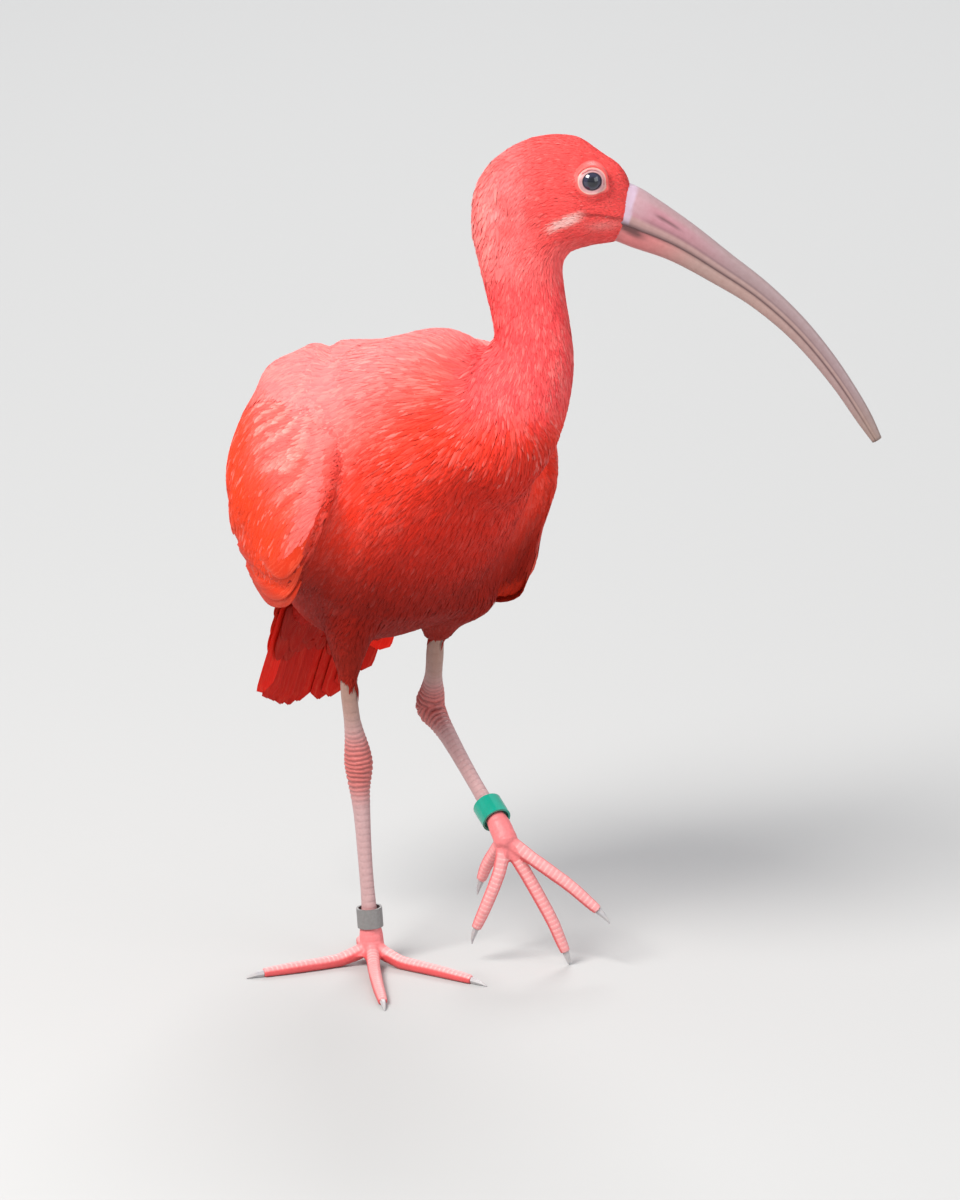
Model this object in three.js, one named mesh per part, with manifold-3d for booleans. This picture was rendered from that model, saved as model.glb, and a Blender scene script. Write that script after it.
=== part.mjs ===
// A scarlet ibis, life size, in mid step, with its head turned to its left.
// Millimetres, +Z up. In the bird's frame +X is where its body heads, +Y is its left
// and z = 0 is the floor under its toes.
import * as THREE from 'three';
import { mergeVertices } from 'three/addons/utils/BufferGeometryUtils.js';
import Module from 'manifold-3d';

const wasm = await Module();
wasm.setup();

// Driving dimensions
const GAP = 0.3;
const TORSO_CENTRE = [0, 0, 236];
const TORSO_PITCH = 50;
const HEAD_YAW = 58;
const HEAD_ORIGIN = [16.5, -24.8, -2.5];
const EYE_RADIUS = 5.8;
const EYE_PLACE = [104.8, 13.2, 399];
const TAIL_LENGTH = 70;
const TAIL_FEATHERS = 12;
const RING_HEIGHT = 9.5;
const RING_WALL = 1;

// Finishes
const SCARLET = { color: 0xe0261c, roughness: 0.75, metalness: 0 };
const WING_RED = { color: 0xf0401c, roughness: 0.65, metalness: 0 };
const TAIL_RED = { color: 0xd81c12, roughness: 0.65, metalness: 0 };
const BILL_PINK = { color: 0xb98a86, roughness: 0.45, metalness: 0 };
const LEG_PINK = { color: 0xd98a8c, roughness: 0.55, metalness: 0 };
const CLAW_BONE = { color: 0xcfc4b8, roughness: 0.4, metalness: 0 };
const EYE_DARK = { color: 0x10121c, roughness: 0.08, metalness: 0 };
const GREY_METAL = { color: 0x9a9c9e, roughness: 0.4, metalness: 0.8 };
const GREEN_PLASTIC = { color: 0x0a8f72, roughness: 0.3, metalness: 0 };

const radians = THREE.MathUtils.degToRad;
const lerp = THREE.MathUtils.lerp;
const clamp = THREE.MathUtils.clamp;
const smoothstep = THREE.MathUtils.smoothstep;

let seed = 7;

// A repeatable number between 0 and 1
function random() {
  seed = (seed * 16807) % 2147483647;
  return seed / 2147483647;
}

const model = new THREE.Group();
const ibis = new THREE.Group();
ibis.name = 'scarlet_ibis';
ibis.add(model);

function addNode(name, geometry, finish) {
  const mesh = new THREE.Mesh(geometry, new THREE.MeshStandardMaterial(finish));
  mesh.name = name;
  model.add(mesh);
  return mesh;
}

// Frames: the torso's own axes, and the head's, turned to the bird's left
const pitch = radians(TORSO_PITCH);
const bodyOrigin = new THREE.Vector3(...TORSO_CENTRE);
const bodyForward = new THREE.Vector3(Math.cos(pitch), 0, Math.sin(pitch));
const bodyBack = new THREE.Vector3(-Math.sin(pitch), 0, Math.cos(pitch));
const left = new THREE.Vector3(0, 1, 0);
const yaw = radians(HEAD_YAW);
const headOrigin = new THREE.Vector3(...HEAD_ORIGIN);
const headForward = new THREE.Vector3(Math.cos(yaw), Math.sin(yaw), 0);
const headLeft = new THREE.Vector3(-Math.sin(yaw), Math.cos(yaw), 0);
const up = new THREE.Vector3(0, 0, 1);

function bodyPoint(along, side, dorsal) {
  return bodyOrigin.clone()
    .addScaledVector(bodyForward, along)
    .addScaledVector(left, side)
    .addScaledVector(bodyBack, dorsal);
}

function headPoint(forward, side, height) {
  return headOrigin.clone()
    .addScaledVector(headForward, forward)
    .addScaledVector(headLeft, side)
    .addScaledVector(up, height);
}

// Solids from rings of points, and joins and cuts between them
function signedVolume(points, triangles) {
  let sum = 0;
  for (let i = 0; i < triangles.length; i += 3) {
    const [a, b, c] = [points[triangles[i]], points[triangles[i + 1]], points[triangles[i + 2]]];
    sum += a.dot(b.clone().cross(c));
  }
  return sum / 6;
}

function meshGeometry(points, triangles) {
  if (signedVolume(points, triangles) < 0) triangles.reverse();
  const geometry = new THREE.BufferGeometry();
  geometry.setFromPoints(points);
  geometry.setIndex(triangles);
  return geometry;
}

// Rings all have the same count of points; each end closes on a centre point.
function loft(rings, startTip, endTip) {
  const count = rings[0].length;
  const middle = (ring) => ring.reduce((sum, p) => sum.add(p), new THREE.Vector3()).divideScalar(count);
  const points = [...rings.flat(), startTip ?? middle(rings[0]), endTip ?? middle(rings.at(-1))];
  const start = points.length - 2;
  const end = points.length - 1;
  const last = (rings.length - 1) * count;
  const triangles = [];
  for (let i = 0; i < count; i++) {
    const next = (i + 1) % count;
    triangles.push(start, next, i, end, last + i, last + next);
    for (let row = 0; row < last; row += count) {
      triangles.push(row + i, row + next, row + count + i);
      triangles.push(row + next, row + count + next, row + count + i);
    }
  }
  return meshGeometry(points, triangles);
}

// A plate between two grids of points, split alike on both faces so that thin curved ones never cross.
function plate(top, bottom) {
  const rows = top.length;
  const columns = top[0].length;
  const points = [...top.flat(), ...bottom.flat()];
  const under = rows * columns;
  const triangles = [];
  const at = (row, column) => row * columns + column;
  for (let row = 0; row + 1 < rows; row++) {
    for (let column = 0; column + 1 < columns; column++) {
      const [a, b] = [at(row, column), at(row, column + 1)];
      const [c, d] = [at(row + 1, column), at(row + 1, column + 1)];
      triangles.push(a, b, c, b, d, c);
      triangles.push(under + b, under + a, under + c, under + b, under + c, under + d);
    }
  }
  const rim = [];
  for (let column = 0; column < columns - 1; column++) rim.push(at(0, column));
  for (let row = 0; row < rows - 1; row++) rim.push(at(row, columns - 1));
  for (let column = columns - 1; column > 0; column--) rim.push(at(rows - 1, column));
  for (let row = rows - 1; row > 0; row--) rim.push(at(row, 0));
  rim.forEach((here, i) => {
    const next = rim[(i + 1) % rim.length];
    triangles.push(next, here, under + here, next, under + here, under + next);
  });
  return meshGeometry(points, triangles);
}

function toSolid(geometry) {
  const bare = new THREE.BufferGeometry();
  bare.setAttribute('position', geometry.getAttribute('position'));
  bare.setIndex(geometry.index);
  const merged = mergeVertices(bare, 1e-4);
  return new wasm.Manifold(new wasm.Mesh({
    numProp: 3,
    vertProperties: new Float32Array(merged.attributes.position.array),
    triVerts: new Uint32Array(merged.index.array),
  }));
}

// The outer surface of the largest piece of a solid, with slivers under the weld size closed up.
function fromSolid(solid, weld = 0.004) {
  const pieces = solid.decompose();
  pieces.sort((a, b) => Math.abs(b.volume()) - Math.abs(a.volume()));
  const mesh = pieces[0].getMesh();
  const geometry = new THREE.BufferGeometry();
  const stride = mesh.numProp;
  const positions = new Float32Array(mesh.vertProperties.length / stride * 3);
  for (let i = 0; i * 3 < positions.length; i++) {
    for (let axis = 0; axis < 3; axis++) positions[i * 3 + axis] = mesh.vertProperties[i * stride + axis];
  }
  geometry.setAttribute('position', new THREE.BufferAttribute(positions, 3));
  geometry.setIndex([...mesh.triVerts]);
  return weldSlivers(outerSurface(geometry), weld);
}

// Keeps the largest closed surface, so that a hollow sealed by joining is filled.
function outerSurface(geometry) {
  const index = [...geometry.index.array];
  const parent = Array.from({ length: geometry.attributes.position.count }, (_, i) => i);
  const find = (i) => {
    while (parent[i] !== i) {
      parent[i] = parent[parent[i]];
      i = parent[i];
    }
    return i;
  };
  for (let i = 0; i < index.length; i += 3) {
    parent[find(index[i])] = find(index[i + 1]);
    parent[find(index[i + 1])] = find(index[i + 2]);
  }
  const shells = new Map();
  for (let i = 0; i < index.length; i += 3) {
    const key = find(index[i]);
    if (!shells.has(key)) shells.set(key, []);
    shells.get(key).push(index[i], index[i + 1], index[i + 2]);
  }
  const points = pointsOf(geometry);
  const size = (shell) => Math.abs(signedVolume(points, shell));
  const largest = [...shells.values()].reduce((a, b) => (size(b) > size(a) ? b : a));
  return compact(points, largest);
}

function pointsOf(geometry) {
  const position = geometry.attributes.position;
  return Array.from({ length: position.count }, (_, i) => new THREE.Vector3().fromBufferAttribute(position, i));
}

function compact(points, triangles) {
  const used = new Map();
  const kept = [];
  const index = triangles.map((i) => {
    if (!used.has(i)) {
      used.set(i, kept.length);
      kept.push(points[i]);
    }
    return used.get(i);
  });
  const geometry = new THREE.BufferGeometry();
  geometry.setFromPoints(kept);
  geometry.setIndex(index);
  return geometry;
}

// Closes each edge shorter than the limit, where the link condition keeps the surface closed.
function weldSlivers(geometry, limit) {
  const points = pointsOf(geometry);
  let triangles = [];
  const index = geometry.index.array;
  for (let i = 0; i < index.length; i += 3) triangles.push([index[i], index[i + 1], index[i + 2]]);
  for (let pass = 0; pass < 12; pass++) {
    const around = points.map(() => new Set());
    for (const triangle of triangles) {
      for (let k = 0; k < 3; k++) {
        around[triangle[k]].add(triangle[(k + 1) % 3]);
        around[triangle[k]].add(triangle[(k + 2) % 3]);
      }
    }
    const moved = new Map();
    const busy = new Set();
    for (const triangle of triangles) {
      for (let k = 0; k < 3; k++) {
        const a = triangle[k];
        const b = triangle[(k + 1) % 3];
        if (busy.has(a) || busy.has(b) || points[a].distanceTo(points[b]) >= limit) continue;
        const shared = [...around[a]].filter((v) => around[b].has(v));
        if (shared.length !== 2) continue;
        moved.set(b, a);
        for (const v of [a, b, ...around[a], ...around[b]]) busy.add(v);
      }
    }
    if (!moved.size) break;
    triangles = triangles
      .map((triangle) => triangle.map((v) => moved.get(v) ?? v))
      .filter(([a, b, c]) => a !== b && b !== c && c !== a);
  }
  return compact(points, triangles.flat());
}

function join(geometries) {
  return geometries.map(toSolid).reduce((sum, solid) => sum.add(solid));
}

// A sweep along a smooth curve through [x, y, z, sideways radius, other radius] stations
class Limb {
  constructor(stations, sideways, sides = 10) {
    this.curve = new THREE.CatmullRomCurve3(
      stations.map(([x, y, z]) => new THREE.Vector3(x, y, z)), false, 'catmullrom', 0.5);
    this.radii = new THREE.CatmullRomCurve3(
      stations.map((s) => new THREE.Vector3(s[3], s[4] ?? s[3], 0)), false, 'catmullrom', 0.5);
    this.sideways = sideways;
    this.sides = sides;
    this.length = this.curve.getLength();
  }

  frame(t) {
    const tangent = this.curve.getTangent(t);
    const side = this.sideways.clone().addScaledVector(tangent, -this.sideways.dot(tangent)).normalize();
    const over = new THREE.Vector3().crossVectors(tangent, side);
    return { place: this.curve.getPoint(t), tangent, side, over };
  }

  ring(t, grow = 0) {
    const { place, side, over } = this.frame(t);
    const radius = this.radii.getPoint(t);
    return Array.from({ length: this.sides }, (_, i) => {
      const angle = (i + 0.5) / this.sides * 2 * Math.PI;
      return place.clone()
        .addScaledVector(side, Math.cos(angle) * (radius.x + grow))
        .addScaledVector(over, Math.sin(angle) * (radius.y + grow));
    });
  }

  // The part from t0 to t1, each end drawn in by half a gap where asked
  solid(t0, t1, steps, { grow = 0, floor = -Infinity, startCut = 0, endCut = 0 } = {}) {
    const a = t0 + startCut / this.length;
    const b = t1 - endCut / this.length;
    const rings = [];
    for (let i = 0; i <= steps; i++) rings.push(this.ring(lerp(a, b, i / steps), grow));
    for (const point of rings.flat()) point.z = Math.max(point.z, floor);
    return loft(rings);
  }
}

// Torso: half width, dorsal and ventral depth at places along its axis, head end first
const TORSO_STATIONS = [
  [102, 8, 8, 8],
  [97, 23, 20, 23],
  [85, 37, 31, 38],
  [66, 49, 43, 50],
  [38, 57, 52, 57],
  [6, 60, 54, 60],
  [-28, 58, 50, 60],
  [-58, 46, 39, 50],
  [-80, 31, 26, 35],
  [-94, 17, 13, 19],
];
const TORSO_SIDES = 22;
// Powers that fill out the corners of the cross-sections, on the back and on the belly
const TORSO_FULLNESS = { back: 0.68, belly: 0.88 };
const WING_FULLNESS = { back: 0.62, belly: 0.8 };

function ovalPoint(angle, { back, belly }) {
  const power = Math.cos(angle) > 0 ? back : belly;
  const fill = (v) => Math.sign(v) * Math.abs(v) ** power;
  return [fill(Math.sin(angle)), fill(Math.cos(angle))];
}

function stationAt(stations, along) {
  const row = clamp(stations.findIndex((s) => s[0] <= along), 1, stations.length - 1);
  const [a, b] = [stations[row - 1], stations[row]];
  const t = clamp((along - a[0]) / (b[0] - a[0]), 0, 1);
  return a.map((value, i) => lerp(value, b[i], t));
}

function torsoRing([along, width, dorsal, ventral], grow) {
  return Array.from({ length: TORSO_SIDES }, (_, i) => {
    const [across, over] = ovalPoint(i / TORSO_SIDES * 2 * Math.PI, TORSO_FULLNESS);
    const depth = over > 0 ? dorsal : ventral;
    return bodyPoint(along, across * (width + grow), over * (depth + grow));
  });
}

function torsoSolid(grow = 0) {
  const ends = [TORSO_STATIONS[0][0] + 2 + grow, TORSO_STATIONS.at(-1)[0] - 3 - grow];
  const tips = ends.map((along) => bodyPoint(along, 0, 0));
  return loft(TORSO_STATIONS.map((station) => torsoRing(station, grow)), ...tips);
}

// Neck, from inside the breast up to the head, in the head's frame
const NECK_STATIONS = [
  [44, -30, 268, 31, 31],
  [62, -28, 280, 29, 29],
  [73, -26, 294, 23, 23],
  [79, -22, 311, 19.5, 19],
  [78, -17, 325, 18.5, 18.5],
  [75.5, -12, 339, 18.5, 18.5],
  [72.5, -7, 355, 19.5, 20],
  [72, -3, 370, 19, 23],
  [76, 0, 384, 17, 24],
];
const neck = new Limb(
  NECK_STATIONS.map(([f, s, h, across, along]) => [...headPoint(f, s, h).toArray(), across, along]), headLeft, 16);

// Head: place forward, top, bottom and half width, nape first
const HEAD_STATIONS = [
  [49, 386, 366, 6],
  [52, 396, 358, 12],
  [58, 405, 352, 16],
  [67, 412, 350, 18.5],
  [78, 417, 352, 19.5],
  [89, 418, 357, 19],
  [99, 415, 361, 17.5],
  [108, 409.5, 363.5, 15],
  [115, 404, 364, 12.5],
  [121, 397, 366, 9.5],
  [124, 391, 370, 6],
];

function headRing([forward, top, bottom, width], grow, sides = 16) {
  return Array.from({ length: sides }, (_, i) => {
    const angle = i / sides * 2 * Math.PI;
    const height = (top + bottom) / 2 + Math.cos(angle) * ((top - bottom) / 2 + grow);
    return headPoint(forward, Math.sin(angle) * (width + grow), height);
  });
}

function headSolid(grow = 0) {
  return loft(HEAD_STATIONS.map((station) => headRing(station, grow)));
}

function eyeBall(side, grow = 0) {
  const ball = new THREE.SphereGeometry(EYE_RADIUS + grow, 14, 9);
  const place = headPoint(EYE_PLACE[0], side * EYE_PLACE[1], EYE_PLACE[2]);
  ball.rotateX(Math.PI / 2);
  ball.translate(...place.toArray());
  return ball;
}

// The lids stand round the eye as a low rim, leaning with the cheek.
function lidRim(side) {
  const rim = new THREE.TorusGeometry(5.9, 1.3, 6, 14);
  rim.rotateX(Math.PI / 2);
  rim.rotateX(side * -0.12);
  rim.rotateZ(-side * 0.16);
  rim.rotateZ(yaw);
  const place = headPoint(EYE_PLACE[0], side * (EYE_PLACE[1] + 3), EYE_PLACE[2]);
  rim.translate(...place.toArray());
  return rim;
}

function cutSlab(centre, normal, radius) {
  const slab = new THREE.CylinderGeometry(radius, radius, GAP, 12);
  slab.applyQuaternion(new THREE.Quaternion().setFromUnitVectors(new THREE.Vector3(0, 1, 0), normal));
  slab.translate(...centre.toArray());
  return toSolid(slab);
}

function mouthCut(side) {
  const box = new THREE.BoxGeometry(20, 5, 0.8);
  box.rotateY(radians(14));
  box.rotateZ(yaw + radians(side * -12));
  box.translate(...headPoint(108, side * 15.5, 377).toArray());
  return toSolid(box);
}

function addTorsoNeckAndHead() {
  const headCutNormal = headForward.clone().multiplyScalar(0.24).add(up).normalize();
  const cuts = [
    { place: neck.frame(0.48).place, normal: neck.frame(0.48).tangent, radius: 30 },
    { place: neck.frame(0.66).place, normal: neck.frame(0.66).tangent, radius: 34 },
    { place: headPoint(73, -3, 365.5), normal: headCutNormal, radius: 44 },
  ];
  let whole = join([torsoSolid(), neck.solid(0, 1, 20), headSolid(), lidRim(-1), lidRim(1)]);
  for (const side of [-1, 1]) {
    whole = whole.subtract(toSolid(eyeBall(side, GAP)));
    whole = whole.subtract(mouthCut(side));
  }
  for (const { place, normal, radius } of cuts) whole = whole.subtract(cutSlab(place, normal, radius));
  const pieces = whole.decompose().filter((piece) => piece.volume() > 500);
  const height = (piece) => {
    const { min, max } = piece.boundingBox();
    return (min[2] + max[2]) / 2;
  };
  pieces.sort((a, b) => height(a) - height(b));
  const names = ['torso', 'neck_lower', 'neck_upper', 'head'];
  names.forEach((name, i) => addNode(name, fromSolid(pieces[i], 0.2), SCARLET));
  addNode('eye_right', eyeBall(-1), EYE_DARK);
  addNode('eye_left', eyeBall(1), EYE_DARK);
}

// Bill: the line where its halves meet, as [forward, height, upper depth, lower depth, half width]
const BILL_STATIONS = [
  [112, 377.5, 19, 11, 10],
  [128, 370.2, 17, 8, 8.6],
  [145, 361.5, 14.4, 6.6, 7],
  [160, 352.6, 12, 6, 6.1],
  [174, 343.6, 10.4, 5.5, 5.6],
  [189, 332.8, 9.2, 4.9, 5.1],
  [203, 321, 7.8, 4.4, 4.7],
  [217, 306.6, 6.6, 4, 4.3],
  [228.5, 290.5, 5.6, 3.5, 3.9],
  [235.5, 277, 4.6, 2.8, 3.4],
  [239.5, 266, 2.6, 1.6, 2.2],
];
// Outline of each half across the bill, as shares of its half width and depth
const UPPER_OUTLINE = [
  [-1, 0], [-1.02, 0.22], [-0.9, 0.42], [-0.72, 0.52], [-0.66, 0.72], [-0.34, 0.95],
  [0.34, 0.95], [0.66, 0.72], [0.72, 0.52], [0.9, 0.42], [1.02, 0.22], [1, 0],
];
const LOWER_OUTLINE = [[-0.96, 0], [-0.9, 0.5], [-0.45, 1], [0.45, 1], [0.9, 0.5], [0.96, 0]];

function billHalf(outline, isUpper) {
  const line = new THREE.CatmullRomCurve3(
    BILL_STATIONS.map(([f, h]) => new THREE.Vector3(f, 0, h)), false, 'catmullrom', 0.5);
  const rings = BILL_STATIONS.map(([, , upper, lower, width], i) => {
    const t = i / (BILL_STATIONS.length - 1);
    const place = line.getPoint(t);
    const tangent = line.getTangent(t);
    const depth = isUpper ? upper : -lower;
    const lift = isUpper ? GAP / 2 : -GAP / 2;
    return outline.map(([across, share]) => {
      const rise = share * depth + lift;
      return headPoint(place.x - tangent.z * rise, across * width, place.z + tangent.x * rise);
    });
  });
  return loft(rings);
}

function nostrilCut(side) {
  const slit = new THREE.SphereGeometry(1, 8, 6);
  slit.scale(5.2, 1.6, 0.9);
  slit.rotateY(radians(33));
  slit.rotateZ(yaw);
  slit.translate(...headPoint(139.5, side * 6.9, 371.5).toArray());
  return toSolid(slit);
}

function addBill() {
  const face = toSolid(headSolid(GAP));
  let upper = toSolid(billHalf(UPPER_OUTLINE, true)).subtract(face);
  for (const side of [-1, 1]) upper = upper.subtract(nostrilCut(side));
  const lower = toSolid(billHalf(LOWER_OUTLINE, false)).subtract(face);
  addNode('bill_upper', fromSolid(upper), BILL_PINK);
  addNode('bill_lower', fromSolid(lower), BILL_PINK);
}

// Wing guide: the surface that a folded wing lies on, outside the torso and on past its end.
// Each row is [along, half width, dorsal depth, ventral depth].
const WING_STATIONS = [
  [90, 37, 36, 37],
  [66, 51.5, 46, 51.5],
  [38, 59.5, 55, 60],
  [6, 62.8, 57.5, 62.8],
  [-28, 61.5, 54, 62.5],
  [-58, 52.5, 43, 54],
  [-86, 37, 30, 41],
  [-115, 23, 13, 27],
  [-140, 14, 4, 12],
];

function wingPoint(side, along, angle, height) {
  const [, width, dorsal, ventral] = stationAt(WING_STATIONS, along);
  const [across, over] = ovalPoint(angle, WING_FULLNESS);
  const depth = over > 0 ? dorsal : ventral;
  return bodyPoint(along, side * across * (width + height), over * (depth + height));
}

// Top and bottom edge of the folded wing in degrees from the midline of the back
const WING_EDGES = [
  [53, 42, 97],
  [47, 28, 113],
  [30, 19, 122],
  [2, 17, 127],
  [-30, 15, 127],
  [-52, 14, 118],
  [-76, 13, 96],
  [-100, 10, 76],
  [-125, 6, 62],
  [-142, 3, 60],
];
const WING_INNER = -0.6;
// Outer height of the wing's flesh and small coverts over the guide, front to back
const WING_CORE = [
  [54, 2],
  [46, 5],
  [32, 6.4],
  [14, 6.2],
  [-8, 5.2],
  [-28, 4],
  [-50, 3.1],
];

// A place on the wing: share 0 is its top edge and 1 its bottom edge
function onWing(side, along, share, height) {
  const [, top, bottom] = stationAt(WING_EDGES, along);
  return wingPoint(side, along, radians(lerp(top, bottom, share)), height);
}

function wingCore(side) {
  const rows = 7;
  const columns = 6;
  const outer = [];
  const inner = [];
  for (let row = 0; row <= rows; row++) {
    const along = lerp(WING_CORE[0][0], WING_CORE.at(-1)[0], row / rows);
    const height = stationAt(WING_CORE, along)[1];
    const shares = Array.from({ length: columns + 1 }, (_, i) => i / columns);
    const swell = (share) => 1 - (share < 0.5 ? 0.1 : 0.5) * Math.abs(2 * share - 1) ** 3;
    outer.push(shares.map((share) => onWing(side, along, share, height * swell(share))));
    inner.push(shares.map((share) => onWing(side, along, share, WING_INNER)));
  }
  return plate(outer, inner);
}

// From root to tip: how far out, half the width and the rise, each as a share of the whole
const QUILL_OUTLINE = [[0, 0.6, 0], [0.22, 0.85, 1], [0.7, 1, 1], [0.93, 0.72, 1], [1, 0.3, 1]];
const TAIL_OUTLINE = [[0, 0.6, 0], [0.4, 0.96, 1], [0.88, 1, 1], [0.97, 0.8, 1], [1, 0.5, 1]];
const COVERT_OUTLINE = [[0, 0.7, 0], [0.5, 1, 0.5], [0.86, 0.78, 0.86], [1, 0.3, 1]];
const VANE_THICKNESS = 0.6;
// How far a feather's lower edge lifts and its upper edge sinks
const VANE_TILT = 1.05;
const VANE_EDGES = [-1, 0, 1];

// One feather on the wing, lying back along it and a little over its lower neighbour
function wingVane(side, { from, to, share, halfShare, heights, outline }) {
  const top = [];
  const bottom = [];
  for (const [t, breadth, rise] of outline) {
    const along = lerp(from, to, t);
    const middle = lerp(heights[0], heights[1], rise);
    const place = (edge, offset) => {
      const across = share + edge * halfShare * breadth;
      return onWing(side, along, across, middle + edge * VANE_TILT * breadth + offset);
    };
    top.push(VANE_EDGES.map((edge) => place(edge, VANE_THICKNESS / 2)));
    bottom.push(VANE_EDGES.map((edge) => place(edge, -VANE_THICKNESS / 2)));
  }
  return plate(top, bottom);
}

// The tiers of the wing: how many feathers, the shares they fill, where they root and end
const WING_TIERS = [
  { count: 5, fill: [0.3, 1], from: -40, to: [-112, -134, -120], heights: [1.7, 1.7], outline: QUILL_OUTLINE },
  { count: 6, fill: [0.14, 1], from: -20, to: [-104, -92, -76], heights: [2.4, 4.5], outline: QUILL_OUTLINE },
  { count: 3, fill: [0, 0.3], from: -4, to: [-102, -108, -96], heights: [3, 7], outline: QUILL_OUTLINE },
  { count: 5, fill: [0.3, 1], from: 0, to: [-42, -46, -40], heights: [3.8, 7.3], outline: COVERT_OUTLINE },
  { count: 6, fill: [0, 1], from: 20, to: [-14, -18, -10], heights: [4.8, 9.6], outline: COVERT_OUTLINE },
  { count: 5, fill: [-0.04, 0.94], from: 42, to: [14, 10, 14], heights: [4, 9.4], outline: COVERT_OUTLINE },
];

function wingVanes(side) {
  const vanes = [];
  for (const { count, fill, from, to, heights, outline } of WING_TIERS) {
    const step = (fill[1] - fill[0]) / count;
    for (let i = 0; i < count; i++) {
      const share = fill[0] + (i + 0.5) * step;
      const place = (2 * i) / (count - 1);
      const tip = place < 1 ? lerp(to[0], to[1], place) : lerp(to[1], to[2], place - 1);
      const end = tip + 1.6 * (random() - 0.5);
      vanes.push(wingVane(side, { from, to: end, share, halfShare: step * 0.7, heights, outline }));
    }
  }
  return vanes;
}

// Tail frame: it hangs a little steeper than the torso, from the rump
const TAIL_ROOT = [-74, 0, -4];
const TAIL_DROP = 14;
// Half the width of the tail at its root and at its end
const TAIL_HALVES = [31, 34];

function tailPoint(along, side, dorsal) {
  const drop = radians(TAIL_DROP);
  const back = -Math.cos(drop) * along + Math.sin(drop) * dorsal;
  const rise = -Math.sin(drop) * along + Math.cos(drop) * dorsal;
  return bodyPoint(TAIL_ROOT[0] + back, TAIL_ROOT[1] + side, TAIL_ROOT[2] + rise);
}

// Height of the tail's roof and half its width at a distance back
const tailArch = (u) => 5 * (1 - u * u);
const tailHalf = (along) => lerp(TAIL_HALVES[0], TAIL_HALVES[1], along / TAIL_LENGTH);

function tailVane({ from, to, u, halfU, heights, outline }) {
  const top = [];
  const bottom = [];
  for (const [t, breadth, rise] of outline) {
    const along = lerp(from, to, t);
    const height = lerp(heights[0], heights[1], rise);
    const place = (edge, offset) => {
      const across = u + edge * halfU * breadth;
      return tailPoint(along, across * tailHalf(along), tailArch(across) + height + offset);
    };
    top.push(VANE_EDGES.map((edge) => place(edge, VANE_THICKNESS / 2)));
    bottom.push(VANE_EDGES.map((edge) => place(edge, -VANE_THICKNESS / 2)));
  }
  return plate(top, bottom);
}

function tailPlug() {
  const rows = [[-6, 9, 13], [10, 7, 11], [26, 4.6, 8.6], [38, 2.2, 6.4]];
  const columns = [-1, -0.6, -0.2, 0.2, 0.6, 1];
  const grid = (pick) => rows.map((row) => columns.map((u) => {
    const swell = 1 - 0.4 * u * u;
    return tailPoint(row[0], u * 0.97 * tailHalf(row[0]), tailArch(u) + pick(row) * swell);
  }));
  return plate(grid((row) => row[1] * 0.5), grid((row) => -row[2]));
}

function tailVanes() {
  const half = TAIL_FEATHERS / 2;
  const vanes = [];
  for (let i = 0; i < half; i++) {
    for (const side of [-1, 1]) {
      const drop = (i === 0 && side === 1 ? 1 : 0) - 1 - i;
      vanes.push(tailVane({
        from: 14, to: TAIL_LENGTH - i * 0.9 + random(), u: side * (i + 0.5) / half,
        halfU: 0.72 / half, heights: [drop, drop], outline: TAIL_OUTLINE,
      }));
    }
  }
  for (let i = 0; i < 5; i++) {
    const u = (i - 2) * 0.36;
    const lift = Math.abs(i - 2);
    vanes.push(tailVane({
      from: 22, to: 46 - 3 * lift, u, halfU: 0.25, heights: [1, 3.6 - lift], outline: COVERT_OUTLINE,
    }));
    vanes.push(tailVane({
      from: 22, to: 48 - 3 * lift, u, halfU: 0.25, heights: [-6, -9 + lift * 0.9], outline: COVERT_OUTLINE,
    }));
  }
  return vanes;
}

function addWingsAndTail() {
  const torso = toSolid(torsoSolid(GAP));
  for (const [side, name] of [[-1, 'wing_right'], [1, 'wing_left']]) {
    addNode(name, fromSolid(join([wingCore(side), ...wingVanes(side)]), 0.15), WING_RED);
  }
  const tail = join([tailPlug(), ...tailVanes()]).subtract(torso);
  addNode('tail', fromSolid(tail, 0.1), TAIL_RED);
}

// Legs, from the thigh's root down to the ankle: [x, y, z, sideways radius, fore and aft radius]
const RIGHT_LEG = [
  [4, -25, 200, 22, 26],
  [1, -25.5, 178, 16, 19],
  [-1, -25, 158, 9.5, 11],
  [-2.5, -24, 139, 4.6, 5],
  [-4.5, -21, 122, 3.6, 4],
  [-6.2, -17.5, 108, 5.4, 5.8],
  [-6.6, -16, 98, 6.6, 7],
  [-6.2, -15.8, 87, 5, 5.6],
  [-5, -15.2, 74, 3.7, 4.2],
  [-3, -14.6, 50, 3, 3.6],
  [-1, -13.8, 28, 3.2, 3.8],
  [0, -13.3, 15, 5.4, 5.2],
  [1, -13.3, 9, 5.6, 5.6],
];
const LEFT_LEG = [
  [0, 28, 202, 24, 28],
  [-7, 30, 180, 18, 21],
  [-14, 33, 161, 11, 13],
  [-21, 36, 144, 5, 5.6],
  [-29, 40, 128, 3.8, 4.2],
  [-35.5, 43.2, 116.5, 5.6, 6],
  [-38.5, 44, 108, 7, 7.4],
  [-31, 43.6, 103.5, 5.2, 5.8],
  [-20, 43, 97.5, 3.9, 4.3],
  [0, 41.6, 85.5, 3.1, 3.6],
  [20, 40.2, 74, 3.3, 3.8],
  [30, 39.5, 68.5, 5.2, 5],
  [36, 39.5, 62.5, 5.4, 5.4],
];
// Where a leg is parted, as shares of its curve
const LEG_PARTS = [
  ['thigh', 0, 0.25, 8],
  ['shank', 0.25, 0.4, 5],
  ['heel', 0.4, 0.6, 8],
  ['tarsus', 0.6, 0.9, 9],
];

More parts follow.
